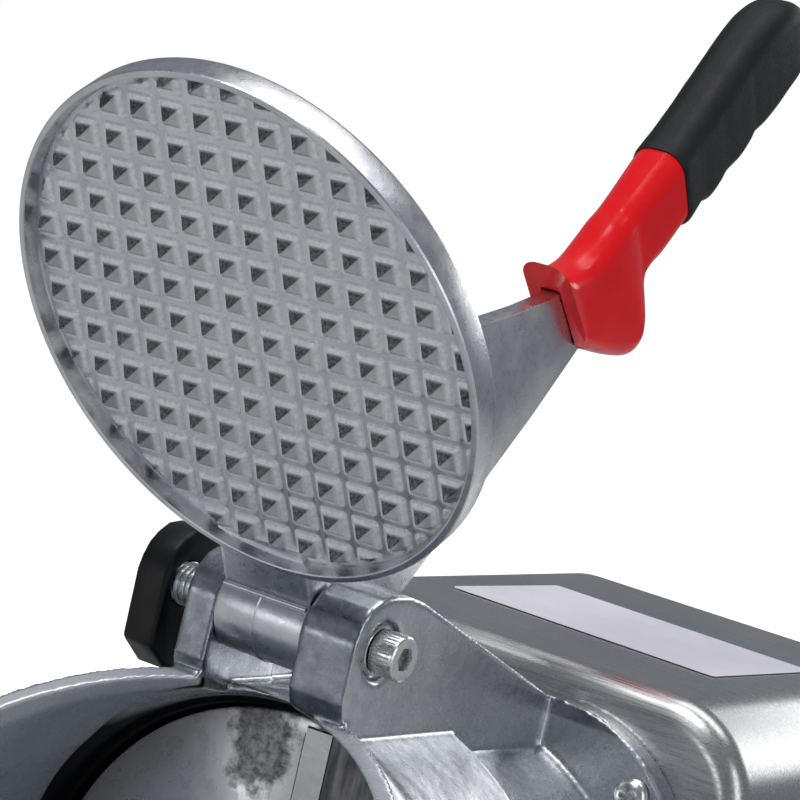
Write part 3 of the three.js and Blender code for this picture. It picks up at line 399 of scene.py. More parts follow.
def waffle_finish():
    """Frosted skirts round darker pyramids, from the mesh's own skirt and spike layers: the spike layer lays
    painted shade on the pyramid faces by which way each looks, and the skirt layer puts a painted highlight on
    each tip.
    """
    n = Nodes("waffle_aluminium", (0.6, 0.6, 0.6), 0.3, 1.0)
    skirt = n.add("ShaderNodeAttribute", attribute_name="skirt").outputs["Fac"]
    spike = n.add("ShaderNodeAttribute", attribute_name="spike").outputs["Fac"]
    mottle = n.tones(n.noise(16, 3.0, 0.6), (0.3, (0.54, 0.55, 0.58)), (0.7, (0.76, 0.76, 0.78)))
    # painted shade: the dark tone laid on pyramid faces as far as the spike layer's shade reaches
    shaded_speckle = n.tones(n.noise(0.8, 4.0, 0.7), (0.35, (0.08, 0.08, 0.085)), (0.65, (0.34, 0.34, 0.345)))
    # the skirts' light frosting, which on each pyramid tip stands as a painted highlight
    frosting = n.tones(n.noise(1.2, 4.0, 0.7), (0.35, (0.74, 0.745, 0.76)), (0.65, (0.97, 0.97, 0.98)))
    n.colour(n.mixed(skirt, n.mixed(spike, mottle, shaded_speckle), frosting))
    n.metallic(n.spread(skirt, 1.0, 0.30, 0, 1))
    rougher = n.plus(n.times(skirt, 0.16), n.times(spike, 0.14))
    n.roughness(n.plus(n.spread(n.noise(3.0, 3.0, 0.6), 0.24, 0.36), rougher))
    n.bump(n.noise(8, 3.0, 0.5), 0.18, 0.5)
    n.bump(n.noise(0.8, 4.0, 0.65), 0.07, 0.5)
    return n.material


def hopper_finish():
    """Cast metal: painted shade, near black, in the hollow behind the machined wall; the machined wall lighter
    near the lip and darker further in; painted dark reflections on the fronts of the ears.
    """
    n = Nodes("hopper_aluminium", (0.6, 0.6, 0.61), 0.28, 1.0)
    x, y, z = n.axes()
    ahead_of_pivot = n.maths("MINIMUM", n.minus(y, PIVOT.y * MM), 0.0)
    from_pivot = n.length(ahead_of_pivot, n.minus(z, PIVOT.z * MM))
    path_radius, wall_radius = 0.0855, 0.0815
    off_centre = n.length(x, n.minus(from_pivot, path_radius))
    inside = n.spread(off_centre, 1, 0, wall_radius, wall_radius + 0.0007)
    tilt = math.radians(-10)
    top_y, top_z = MOUTH.y + MACHINED_REACH * MOUTH_UP[0], MOUTH.z + MACHINED_REACH * MOUTH_UP[1]
    ahead = n.plus(n.times(n.minus(y, top_y * MM), -math.cos(tilt)),
                   n.times(n.minus(z, top_z * MM), math.sin(tilt)))
    below = n.spread(ahead, 1, 0, -0.0006, 0.0002)
    under_pivot = n.spread(z, 1, 0, 0.2026, 0.2034)
    above_pivot = n.minus(1.0, under_pivot)
    before_wall = n.spread(y, 1, 0, -0.0272, -0.0265)
    # painted shade: the hollow behind the machined wall, inside the elbow and ahead of the rear wall
    dark = n.times(n.times(inside, below), n.times(under_pivot, before_wall))
    machined = n.times(n.times(inside, under_pivot), n.minus(1.0, below))
    off_mouth = n.plus(n.times(n.minus(y, MOUTH.y * MM), -MOUTH_UP[1]),
                       n.times(n.minus(z, MOUTH.z * MM), MOUTH_UP[0]))
    near_lip = n.spread(off_mouth, 0, 1, -0.0075, -0.005)
    facing_y = n.axes(n.add("ShaderNodeTexCoord").outputs["Normal"])[1]
    # painted dark reflection on the ears' forward-facing faces, chosen by which way each face looks
    painted_ear_reflection = n.times(n.spread(facing_y, 0.8, 0, -0.85, -0.35), above_pivot)
    cast = n.tones(n.noise(30, 2.0, 0.5), (0.25, (0.50, 0.52, 0.56)), (0.75, (0.66, 0.67, 0.69)))
    wall = n.tones(near_lip, (0.0, (0.38, 0.41, 0.46)), (1.0, (0.62, 0.64, 0.67)))
    # the dark tones of the painted reflection on the ear fronts
    dull = n.tones(n.noise(5, 4.0, 0.6), (0.3, (0.10, 0.11, 0.14)), (0.7, (0.30, 0.31, 0.35)))
    outside = n.mixed(painted_ear_reflection, n.mixed(machined, cast, wall), dull)
    # painted shade: the hollow takes a near-black colour
    n.colour(n.mixed(dark, outside, (0.012, 0.012, 0.013)))
    n.metallic(n.spread(machined, 1.0, 0.30, 0, 1))
    n.roughness(n.plus(n.spread(n.noise(3.5, 3.0, 0.6), 0.20, 0.34), n.times(dark, 0.35)))
    n.bump(n.noise(12, 2.0, 0.5), 0.55, 0.5)
    n.bump(n.noise(1.3, 3.0, 0.6), 0.07, 0.5)
    return n.material


def disc_finish():
    """Turned metal with painted dark reflections streaked behind each blade and one painted dark reflection patch
    beside the slot.
    """
    n = Nodes("disc_metal", (0.6, 0.6, 0.6), 0.28, 0.55)
    x, _, z = n.axes()
    bright = n.tones(n.noise(40, 3.0, 0.55), (0.3, (0.78, 0.78, 0.79)), (0.7, (0.95, 0.95, 0.96)))
    # painted dark reflection: near-black streaks over the two quarters behind the blades
    painted_reflection_streaks = n.tones(n.noise(2.5, 3.0, 0.6, (1, 1, 0.15)),
                      (0.35, (0.03, 0.03, 0.033)), (0.65, (0.13, 0.13, 0.14)))
    # the dark tones of the painted reflection patch beside the slot
    rough = n.tones(n.noise(2.5, 4.0, 0.7), (0.35, (0.07, 0.07, 0.075)), (0.7, (0.38, 0.38, 0.39)))
    behind_blade = n.spread(n.times(x, n.minus(z, AXIS_Z * MM)), 0, 1, 0.00015, 0.00035)
    away = n.length(n.times(n.minus(x, -0.014), 1.4), n.minus(z, AXIS_Z * MM + 0.068))
    ragged = n.plus(away, n.times(n.minus(n.noise(7, 5.0, 0.65), 0.5), 0.026))
    # painted dark reflection: a ragged round patch beside the slot
    dark_reflection_patch = n.spread(ragged, 1, 0, 0.012, 0.017)
    n.colour(n.mixed(dark_reflection_patch, n.mixed(behind_blade, bright, painted_reflection_streaks), rough))
    n.roughness(n.plus(n.spread(n.noise(6, 4.0, 0.6), 0.22, 0.36), n.times(dark_reflection_patch, 0.1)))
    n.bump(n.noise(7, 4.0, 0.6), 0.10, 0.5)
    n.bump(n.noise(0.9, 3.0, 0.6), 0.04, 0.5)
    return n.material


CAST = cast_aluminium()
HOPPER = hopper_finish()
WAFFLE = waffle_finish()
DISC = disc_finish()
BLADE = cast_aluminium("blade_steel", 0.52, 0.30, 0.04)
STEEL = satin_stainless()
ZINC = zinc("zinc_steel", (0.74, 0.76, 0.77))
ZINC_GREY = zinc("zinc_grey", (0.60, 0.61, 0.62))
KNOB = plastic("black_plastic", (0.003, 0.003, 0.0035), 0.40, 0.5, 0.05, specular=0.3)
RED = plastic("red_vinyl", (0.95, 0.005, 0.010), 0.20, 5.0, 0.10, 0.15, 0.05, specular=0.3)
GRIP = plastic("black_grip", (0.006, 0.0065, 0.008), 0.52, 0.9, 0.16, specular=0.35)
RUBBER = plastic("black_rubber", (0.018, 0.018, 0.018), 0.72, 0.5, 0.06)
LABEL = plastic("label_film", (0.93, 0.91, 0.96), 0.42, 3.0, 0.01, 0.1, 0.03)
PAINT = plastic("painted_steel", (0.06, 0.07, 0.09), 0.45, 0.6, 0.03)
IRON = cast_aluminium("lamination_steel", 0.22, 0.45, 0.1)
COPPER = zinc("copper_wire", (0.55, 0.24, 0.12))
NYLON = plastic("white_nylon", (0.78, 0.76, 0.70), 0.42)
ROCKER_RED = plastic("red_plastic", (0.50, 0.01, 0.01), 0.25, 0.8, 0.02, 0.3)
BY_SLOT = {
    "cast_aluminium": CAST, "disc_aluminium": CAST, "stainless_steel": STEEL, "blade_steel": ZINC_GREY,
    "zinc_steel": ZINC, "black_plastic": KNOB, "red_plastic": ROCKER_RED, "red_vinyl": RED,
    "black_grip": GRIP, "black_rubber": RUBBER, "label_film": LABEL, "painted_steel": PAINT,
    "lamination_steel": IRON, "copper_wire": COPPER, "white_nylon": NYLON,
}


def dress_cad_nodes():
    for row in frame["record"]["subparts"]:
        obj = frame["nodes"][row["node"]]
        obj.data.materials.clear()
        obj.data.materials.append(BY_SLOT[row["material_slot"]])
        smooth(obj, 32)


# ---------------- studio
def camera():
    data = bpy.data.cameras.new("camera")
    data.lens = 156.1
    data.sensor_width = 36
    obj = bpy.data.objects.new("camera", data)
    bpy.context.scene.collection.objects.link(obj)
    azimuth, elevation, roll = (math.radians(a) for a in CAMERA_TURN)
    right = Vector((math.cos(azimuth), math.sin(azimuth), 0))
    level = math.cos(elevation)
    back = Vector((math.sin(azimuth) * level, -math.cos(azimuth) * level, math.sin(elevation)))
    up = back.cross(right)
    rolled_right = math.cos(roll) * right + math.sin(roll) * up
    rolled_up = math.cos(roll) * up - math.sin(roll) * right
    turn = Matrix((rolled_right, rolled_up, back)).transposed().to_4x4()
    obj.matrix_world = Matrix.Translation(CAMERA_PLACE * MM) @ turn
    data.clip_start, data.clip_end = 0.05, 30
    bpy.context.scene.camera = obj


def area_light(name, place, target, size, power):
    data = bpy.data.lights.new(name, "AREA")
    data.shape = "RECTANGLE"
    data.size, data.size_y = size
    data.energy = power
    obj = bpy.data.objects.new(name, data)
    bpy.context.scene.collection.objects.link(obj)
    obj.location = place
    obj.rotation_mode = "QUATERNION"
    obj.rotation_quaternion = (Vector(target) - Vector(place)).to_track_quat("-Z", "Y")


def studio():
    world = bpy.data.worlds.new("studio")
    bpy.context.scene.world = world
    world.use_nodes = True
    tree = world.node_tree
    background = tree.nodes["Background"]
    background.inputs["Color"].default_value = (0.21, 0.22, 0.245, 1)
    background.inputs["Strength"].default_value = 1.0
    white = tree.nodes.new("ShaderNodeBackground")
    white.inputs["Color"].default_value = (1, 1, 1, 1)
    white.inputs["Strength"].default_value = 1.0
    path = tree.nodes.new("ShaderNodeLightPath")
    mix = tree.nodes.new("ShaderNodeMixShader")
    tree.links.new(path.outputs["Is Camera Ray"], mix.inputs[0])
    tree.links.new(background.outputs[0], mix.inputs[1])
    tree.links.new(white.outputs[0], mix.inputs[2])
    tree.links.new(mix.outputs[0], tree.nodes["World Output"].inputs["Surface"])
    area_light("key", (-0.35, -1.0, 2.1), (0, -0.05, 0.25), (1.0, 1.0), 16.5)
    area_light("right", (1.7, -0.5, 0.7), (0, 0, 0.25), (0.6, 1.4), 4.5)
    area_light("top", (0.0, 0.3, 1.9), (0, 0, 0.2), (1.6, 0.7), 7.5)
    area_light("low", (-0.5, -1.5, 0.25), (0, -0.1, 0.2), (1.4, 0.30), 2.2)
    area_light("back", (0.4, 1.8, 1.0), (0, 0, 0.25), (1.6, 0.6), 7)
    corners = [(-6000, -6000, -0.2), (6000, -6000, -0.2), (6000, 6000, -0.2), (-6000, 6000, -0.2)]
    floor = new_object("floor", corners, [(0, 1, 2, 3)])
    n = Nodes("floor", (0.62, 0.62, 0.62), 0.7)
    n.shader.inputs["Emission Color"].default_value = (1, 1, 1, 1)
    seen = n.add("ShaderNodeLightPath").outputs["Is Camera Ray"]
    n.link(n.times(seen, 0.9), n.shader.inputs["Emission Strength"])
    floor.data.materials.append(n.material)
    scene = bpy.context.scene
    scene.view_settings.view_transform = "Standard"
    scene.view_settings.look = "None"


camera()
studio()
dress_cad_nodes()


# ---------------- shapes shared by the pieces
def tilted_ring(y, z, tilt, radius, count=160):
    """A circle in a plane that holds X; tilt is its lean from upright, in degrees."""
    down, ahead = math.cos(math.radians(tilt)), math.sin(math.radians(tilt))
    ring = []
    for angle in turns(count):
        across, along = radius * math.cos(angle), radius * math.sin(angle)
        ring.append((across, y - along * ahead, z - along * down))
    return ring


def swung_rings(pivot, start, end, steps, radius, reach):
    """Rings swung about a pivot; radius and reach each run from a first to a last value."""
    rings = []
    for i in range(steps + 1):
        share = i / steps
        tilt = math.radians(start + (end - start) * share)
        far = reach[0] + (reach[1] - reach[0]) * share
        size = radius[0] + (radius[1] - radius[0]) * share
        y, z = pivot[0] - far * math.sin(tilt), pivot[1] - far * math.cos(tilt)
        rings.append(tilted_ring(y, z, math.degrees(tilt), size))
    return rings


def rounded_rectangle(half_width, half_height, radius, steps=10):
    points = []
    for cx, cz, start in ((1, -1, -90), (1, 1, 0), (-1, 1, 90), (-1, -1, 180)):
        for i in range(steps + 1):
            angle = math.radians(start + 90 * i / steps)
            points.append((cx * (half_width - radius) + radius * math.cos(angle),
                           cz * (half_height - radius) + radius * math.sin(angle)))
    return points


def plate_y(name, outline, y0, y1, z):
    rings = [[(x, y, z + v) for x, v in outline] for y in (y0, y1)]
    return loft(name, rings)


def smooth_curve(points, steps):
    """A Catmull-Rom curve through rows of numbers."""
    rows = np.array(points, float)
    rows = np.vstack([2 * rows[0] - rows[1], rows, 2 * rows[-1] - rows[-2]])
    out = []
    for i in range(1, len(rows) - 2):
        a, b, c, d = rows[i - 1], rows[i], rows[i + 1], rows[i + 2]
        for k in range(steps):
            t = k / steps
            bend, twist = 2 * a - 5 * b + 4 * c - d, 3 * b - a - 3 * c + d
            out.append(0.5 * (2 * b + (c - a) * t + bend * t * t + twist * t ** 3))
    out.append(rows[-2])
    return out


def onto_lid(obj):
    """Moves a mesh built in the lid's own frame to where the open lid stands."""
    move = Matrix.Translation(HINGE * MM) @ Matrix.Rotation(math.radians(LID_LEAN), 4, "X")
    obj.data.transform(move)
    return obj


def at_rocker(obj):
    move = Matrix.Translation(Vector(ROCKER) * MM) @ Matrix.Rotation(math.radians(ROCKER_REST), 4, "X")
    obj.data.transform(move)
    return obj


# ---------------- hopper casting
PIVOT_YZ = (PIVOT.y, PIVOT.z)
OUTSIDE = (82.9, 85.2)      # the elbow's outer radius at the mouth and at the drum
MACHINED_RADIUS = 77.3
CAST_INSIDE = (79.3, 81.5)
SWEEP_RADIUS = 76.4         # what the plate needs as it swings in


def mouth_ring(out, radius):
    return tilted_ring(MOUTH.y - MOUTH_UP[1] * out, MOUTH.z + MOUTH_UP[0] * out, MOUTH_TILT, radius)


def elbow_outside():
    rings = [mouth_ring(0, OUTSIDE[0])]
    rings += swung_rings(PIVOT_YZ, MOUTH_TILT, 0, 20, OUTSIDE, (MOUTH_REACH, DRUM_REACH))
    rings.append(tilted_ring(-22, AXIS_Z, 0, OUTSIDE[1]))
    return loft("elbow_outside", rings)


def machined_inside():
    reach, radius = (MACHINED_REACH, MACHINED_REACH), (MACHINED_RADIUS, MACHINED_RADIUS)
    top = (MOUTH.y + MACHINED_REACH * MOUTH_UP[0], MOUTH.z + MACHINED_REACH * MOUTH_UP[1])
    rings = [mouth_ring(8, MACHINED_RADIUS)]
    rings += swung_rings(top, MOUTH_TILT, CUT_TILT, 10, radius, reach)
    return loft("machined_inside", rings)


def cast_inside():
    rings = swung_rings(PIVOT_YZ, CUT_TILT, 0, 12, CAST_INSIDE, (MOUTH_REACH + 0.2, DRUM_REACH))
    rings.append(tilted_ring(-60.5, AXIS_Z, 0, CAST_INSIDE[1]))
    return loft("cast_inside", rings)


def plate_sweep():
    """Room for the lid's plate, from level with the mouth down to the fully pressed lid."""
    pressed = MOUTH_TILT - (LID_PRESSED - (180 - MOUTH_TILT - LID_LEAN))
    centre = (HINGE.y, HINGE.z)
    radius, reach = (SWEEP_RADIUS, SWEEP_RADIUS), (PLATE_UP, PLATE_UP)
    swing = loft("swing", swung_rings(centre, MOUTH_TILT + 2, pressed, 24, radius, reach))
    s, c = math.sin(math.radians(pressed)), math.cos(math.radians(pressed))
    middle_y, middle_z = HINGE.y - PLATE_UP * s, HINGE.z - PLATE_UP * c
    last = [tilted_ring(middle_y - out * c, middle_z + out * s, pressed, SWEEP_RADIUS)
            for out in (-10.2, 2)]
    return [swing, loft("last", last)]


RIGHT_EAR = [(-72, 189), (-79, 202), (-82, 210), (-82, 226.5), (-80.5, 232), (-77, 236.3), (-72, 239),
             (-66, 240), (-60, 239.8), (-52, 238), (-44, 235), (-40, 233.5), (-40, 189)]
RIGHT_WEB = [(-45, 186), (-45, 235.4), (-36, 232), (-12, 223), (17, 212), (30, 207), (30, 186)]
LEFT_EAR = [(-72, 189), (-78, 201), (-80, 208), (-79.5, 226), (-78, 231.5), (-74.5, 235.9),
            (-70, 237.8), (-64, 237.4), (-58, 235), (-50, 231), (-44, 228), (-44, 189)]
LEFT_WEB = [(-48, 186), (-48, 230), (-12, 218.5), (30, 205), (30, 186)]
FLANGE_SCREWS = [(x, AXIS_Z + z) for x in (-61, 61) for z in (-69.5, 69.5)]


def along_y(name, radius, y0, y1, x=0.0, z=AXIS_Z, segments=128):
    return rod(name, radius, y0, y1, (x, 0, z), "Y", segments)


def hopper_casting():
    body = elbow_outside()
    body.name = "hopper_casting"
    flange = plate_y("flange", rounded_rectangle(82, 89.5, 50, 24), 28, 36.3, AXIS_Z)
    united(body, [
        along_y("rear_drum", 79, -23, 35.3),
        flange,
        slab("right_ear", RIGHT_EAR, 8.5, 27),
        slab("right_web", RIGHT_WEB, 20, 27),
        slab("left_ear", LEFT_EAR, -33, -22.5),
        slab("left_web", LEFT_WEB, -33, -26.5),
        box("skirt", -45.5, 45.5, -51, -25.5, 22, 60),
    ])
    trough = rod("trough", 22.9, -22.5, 8.5, AT_HINGE, "X", 96)
    wide = rod("wide_trough", 27.4, -22.5, 8.5, AT_HINGE, "X", 96)
    ahead = box("ahead", -23, 9, HINGE.y - 30, -64.9, HINGE.z - 30, HINGE.z + 30)
    joined(wide, [ahead], "INTERSECT")
    carved(body, [
        machined_inside(), cast_inside(), *plate_sweep(),
        along_y("chamber", 79.6, -61.5, -27),
        along_y("rear_bore", 74.5, -20, 41.3),
        trough, wide,
        box("outlet", -42, 42, -47.5, -29, 0, 70),
        along_y("seal_bore", 16.6, -28, -19),
        rod("bolt_hole", 4.3, 7.5, 28, AT_HINGE, "X", 48),
        rod("counterbore", 8.5, 24.3, 28, AT_HINGE, "X", 64),
        rod("stud_hole", 6.6, -34, -21.5, AT_HINGE, "X", 64),
        *[along_y("screw_hole", 2.8, 27, 37.3, x, z, 32) for x, z in FLANGE_SCREWS],
        *[along_y("chute_hole", 1.9, -51.5, -46.5, x, z, 24) for x, z in CHUTE_SCREWS],
    ])
    return smooth(cast_skin(body, 0.8, 5, 0.5), 60)


# ---------------- lid
HALF_CELL = (0, .45, .9, 1.35, 1.8, 2.3, 2.735, 3.1, 3.5, 3.85, 4.085, 4.25, 4.42, 4.585, 4.9, 5.235)
PITCH = 10.475
LATTICE_TURN = math.radians(-2.1)
LATTICE_SHIFT = (-3.21, -4.13)


def folded(v):
    """How far a place on the lattice lies from the middle of its own cell."""
    return (v + PITCH / 2) % PITCH - PITCH / 2


def cell_depth(px, pz):
    """How far inside its soft-cornered square a place on the lattice lies."""
    half, corner = 4.585, 1.5
    ax, az = np.abs(folded(px)), np.abs(folded(pz))
    dx, dz = np.maximum(ax - (half - corner), 0), np.maximum(az - (half - corner), 0)
    inside = np.minimum(np.maximum(ax, az) - (half - corner), 0)
    return corner - np.hypot(dx, dz) - inside


def cell_height(depth):
    """Groove, skirt, then a pyramid."""
    return np.interp(depth, (0, 0.12, 0.5, 1.85, 4.585), (0, 0.12, 0.62, 1.15, 4.65))


def mark_cells(obj):
    """Stores on each point of the finished plate whether it is on a skirt or a spike, with painted shade on the
    pyramid faces by which way each looks and a painted highlight on each tip.
    """
    mesh = obj.data
    spots = np.empty(len(mesh.vertices) * 3)
    mesh.vertices.foreach_get("co", spots)
    spots = spots.reshape(-1, 3) / MM
    back, up = spots[:, 1], spots[:, 2] - PLATE_UP
    px = spots[:, 0] * math.cos(LATTICE_TURN) - up * math.sin(LATTICE_TURN) - LATTICE_SHIFT[0]
    pz = spots[:, 0] * math.sin(LATTICE_TURN) + up * math.cos(LATTICE_TURN) - LATTICE_SHIFT[1]
    depth = cell_depth(px, pz)
    on_field = (back < -4.15) & (np.hypot(spots[:, 0], up) < 71.5)
    fx, fz = folded(px), folded(pz)
    # painted shade: upper pyramid faces darkest, right faces lightest, others between, by which way each face
    # looks
    painted_face_shade = np.where(fx > np.abs(fz) + 0.05, 0.30, np.where(fz > np.abs(fx) - 0.05, 1.0, 0.7))
    # painted highlight: the skirt layer also rises to one at each pyramid's tip, so every tip takes the light
    # frosting colour
    skirt = np.interp(depth, (-0.05, 0.1, 1.75, 1.95, 4.3, 4.5), (0, 1, 1, 0, 0, 1)) * on_field
    spike = np.interp(depth, (1.75, 1.95), (0, 1)) * painted_face_shade * on_field
    for name, values in (("skirt", skirt), ("spike", spike)):
        layer = mesh.attributes.new(name, "FLOAT", "POINT")
        layer.data.foreach_set("value", values.astype(np.float32))


def waffle_field():
    """The plate's pyramids as a height field over the lattice, trimmed to a circle."""
    turn = LATTICE_TURN
    cell = sorted({-h for h in HALF_CELL} | set(HALF_CELL))[:-1]
    line = np.array([c + i * PITCH for i in range(-8, 9) for c in cell])
    line = line[np.abs(line) < 79]
    gx, gz = np.meshgrid(line, line, indexing="ij")
    ox, oz = LATTICE_SHIFT
    x = (gx + ox) * math.cos(turn) + (gz + oz) * math.sin(turn)
    z = -(gx + ox) * math.sin(turn) + (gz + oz) * math.cos(turn)
    height = cell_height(cell_depth(gx, gz))
    radius = np.hypot(x, z)
    height = np.clip(np.minimum(height, (70.9 - radius) * 2.2), 0, None)
    top = np.stack([x, -4.2 - height, z + PLATE_UP], axis=-1).reshape(-1, 3)
    base = np.stack([x, np.full_like(x, -2.5), z + PLATE_UP], axis=-1).reshape(-1, 3)
    n = len(line)
    index = np.arange(n * n).reshape(n, n)
    faces = []
    mid = (line[:-1] + line[1:]) / 2
    side = folded(mid) > 0
    for i in range(n - 1):
        for j in range(n - 1):
            a, b, c, d = index[i, j], index[i + 1, j], index[i + 1, j + 1], index[i, j + 1]
            if side[i] == side[j]:
                faces += [(a, b, c), (a, c, d)]
            else:
                faces += [(a, b, d), (b, c, d)]
    shift = n * n
    edge = list(index[0, :]) + list(index[1:, -1]) + list(index[-1, -2::-1]) + list(index[-2:0:-1, 0])
    for k in range(len(edge)):
        a, b = edge[k], edge[(k + 1) % len(edge)]
        faces.append((a, b, b + shift))
        faces.append((a, b + shift, a + shift))
    faces.append(tuple(int(v) + shift for v in reversed(edge)))
    used = np.zeros(2 * n * n, bool)
    used[:n * n] = True
    used[np.array(edge) + shift] = True
    renumber = np.cumsum(used) - 1
    verts = np.vstack([top, base])[used]
    faces = [tuple(int(renumber[v]) for v in face) for face in faces]
    field = new_object("waffle_field", verts.tolist(), faces)
    trim = turned("trim", [(0, -2), (72.8, -2), (72.8, -12), (0, -12)], (0, 0, PLATE_UP), "Y", 256)
    return joined(field, [trim], "INTERSECT")


ARM = [(-2, 30), (-2, 112), (6, 100), (16, 86), (30, 73), (46, 63), (66, 54.5), (96, 44.5), (115, 38.5),
       (128, 35.2), (140, 34.4), (152, 34.8), (250, 61), (252.6, 51), (146, 20.5), (140, 11), (114, 2),
       (80, -8), (46, -17.5), (30, -18.5), (16, -16), (4, -11)]


def pressure_plate():
    dish_profile = [(0, -0.3), (73.6, -0.3), (74.6, -0.65), (75, -1.6), (75, -8.5), (74.75, -9.0),
                    (74.2, -9.2), (73.3, -9.2), (72.95, -9.0), (72.55, -4.6), (72.2, -4.2), (0, -4.2)]
    dish = turned("pressure_plate", dish_profile, (0, 0, PLATE_UP), "Y", 256)
    knuckle_profile = [(0, -22), (12.2, -22), (12.8, -21.7), (13, -21), (13, -9.2), (13.35, -8.9),
                       (13.35, -8.1), (13, -7.8), (13, 7), (12.8, 7.7), (12.2, 8), (0, 8)]
    knuckle = turned("knuckle", knuckle_profile, (0, 0, 0), "X", 128)
    web = bevelled(box("web", -22, 8, -5.6, 3, 0, 30), 0.8, 3)
    arm = bevelled(slab("arm", ARM, -7, -1), 0.7, 3, 40)
    rib = turned("rib", [(0, -21.6), (0.75, -21.2), (0.75, 7.2), (0, 7.6)], (0, -6.5, 11.4), "X", 24)
    united(dish, [waffle_field(), knuckle, web, arm, rib])
    carved(dish, [rod("stud_bore", 5.4, -23, -11, (0, 0, 0), "X", 48),
                  rod("bolt_bore", 4.4, -8, 9, (0, 0, 0), "X", 48)])
    smooth(dish, 24)
    mark_cells(dish)
    return onto_lid(dish)


def handle_rings(stations):
    """Soft sections; a station is (top, bottom, half width), in the lid's own Y and Z."""
    middle, steps = -4, 6
    rings = []
    for top_y, top_z, low_y, low_z, half in smooth_curve([(*t, *b, h) for t, b, h in stations], steps):
        upper, lower = np.array((top_y, top_z)), np.array((low_y, low_z))
        centre, along = (upper + lower) / 2, upper - lower
        length = np.linalg.norm(along) / 2
        along /= 2 * length
        ring = []
        for x, v in rounded_rectangle(half, length, min(half, length) * 0.78, 9):
            spot = centre + along * v
            ring.append((middle + x, spot[0], spot[1]))
        rings.append(ring)
    return rings


def handle_guard():
    stations = [((130, 45.4), (138, 13.6), 8.5), ((131.6, 43.4), (139.4, 12.4), 8.3),
                ((134, 41.2), (141, 10.6), 8.0), ((137, 40), (144, 8.4), 7.9),
                ((146, 39), (152.6, 2.2), 8), ((156, 41), (161.4, -2.8), 8.4),
                ((162, 42.8), (167, -2.2), 8.4), ((165, 43.6), (169.4, 2), 8.2),
                ((167.4, 44.2), (170.2, 8.4), 7.9), ((169.4, 44.8), (170.6, 14.6), 7.7),
                ((172, 45.5), (172.6, 18.6), 7.8), ((176, 46.6), (177.4, 20.6), 8.1),
                ((180, 47.8), (182.6, 21.6), 8.4), ((191.4, 51.2), (193, 25.6), 9.2),
                ((194.4, 52.1), (196, 26.0), 9.2)]
    body = loft("handle_guard", handle_rings(stations))
    mouth = [(120, 44), (128, 36.2), (136, 34.8), (142, 34.6), (142, 14), (140, 10.4), (120, 3)]
    carved(body, [slab("mouth", mouth, -7.4, -0.6)])
    return onto_lid(smooth(body, 50))


def handle_grip():
    stations = [((193.6, 52.4), (195.0, 25.6), 9.6), ((195.5, 53.0), (197, 25.2), 9.9),
                ((203, 55.2), (204.6, 27.9), 9.5), ((208, 56.8), (209.6, 27.2), 9.5),
                ((213.4, 58.5), (215, 28.9), 9.5), ((217.4, 60), (219, 30.9), 9.4),
                ((222, 61.7), (223.6, 31.6), 9.5), ((226.4, 63.2), (228, 32.2), 9.5),
                ((231.6, 65.1), (233.4, 34.4), 9.5), ((235, 66.4), (236.8, 36.3), 9.4),
                ((241, 68.5), (243, 36.9), 9.5), ((247.6, 70.5), (250, 38.4), 9.5),
                ((254, 71.7), (256.6, 40.6), 9.5), ((262, 71.4), (264.6, 43), 9.2),
                ((268.4, 69), (270.6, 46.4), 8.2), ((272.6, 65.8), (274, 50.2), 6.2),
                ((274.6, 62.5), (275.2, 54.4), 3.4)]
    body = loft("handle_grip", handle_rings(stations))
    return onto_lid(smooth(body, 50))


# ---------------- hinge hardware
def hinge_bolt():
    profile = [(0, -7), (3.6, -7), (4, -6.6), (4, 26.4), (6.2, 26.4), (6.5, 26.7), (6.5, 33.6),
               (6.3, 34.1), (5.9, 34.4), (0, 34.4)]
    body = turned("hinge_bolt", profile, AT_HINGE, "X", 96)
    socket_profile = [(0, 30.2), (3.46, 30.2), (3.46, 34.0), (4.1, 35.2), (0, 35.2)]
    socket = turned("socket", socket_profile, AT_HINGE, "X", 6)
    ridges = []
    for angle in turns(36):
        spot = (0, HINGE.y + 6.62 * math.cos(angle), HINGE.z + 6.62 * math.sin(angle))
        ridges.append(rod("ridge", 0.24, 27.4, 33.2, spot, "X", 6))
    carved(body, [socket, *ridges])
    return smooth(body, 30)


def hinge_washer():
    profile = [(4.3, 24.6), (6.8, 24.6), (7, 24.8), (7, 25.9), (6.8, 26.1), (4.3, 26.1)]
    return smooth(turned("hinge_washer", profile, AT_HINGE, "X", 96), 30)


def clamp_stud():
    """Coarse thread as a stack of slightly leaning crests, then a plain tip."""
    profile = [(0, -48), (5.5, -48)]
    along = -47.4
    while along < -23.6:
        profile += [(5.5, along), (6.4, along + 0.68), (6.4, along + 0.92), (5.5, along + 1.6)]
        along += THREAD_PITCH
    profile += [(5.5, -22.8), (5.0, -22.4), (5.0, -12.5), (4.5, -12), (0, -12)]

    def lean(along, angle):
        return THREAD_PITCH * math.cos(angle) / 4 if -47.5 < along < -23 else 0

    return smooth(turned("clamp_stud", profile, AT_HINGE, "X", 96, lean), 40)


KNOB_SIDE = [(-69, 199), (-78, 206), (-78, 226), (-77, 230), (-75, 234), (-72, 237), (-68, 239.4),
             (-63, 240), (-57, 238.4), (-52, 234.6), (-48.6, 229), (-48, 224), (-48, 207), (-52, 200.6),
             (-56, 199)]


def clamp_knob():
    body = bevelled(slab("clamp_knob", KNOB_SIDE, -53, -42), 1.4, 3, 50)
    boss_profile = [(0, -45), (9.6, -45), (9.6, -42.4), (9.2, -42), (0, -42)]
    united(body, [turned("boss", boss_profile, AT_HINGE, "X", 64)])
    carved(body, [rod("bore", 6.8, -48.5, -41, AT_HINGE, "X", 64)])
    return smooth(body, 38)


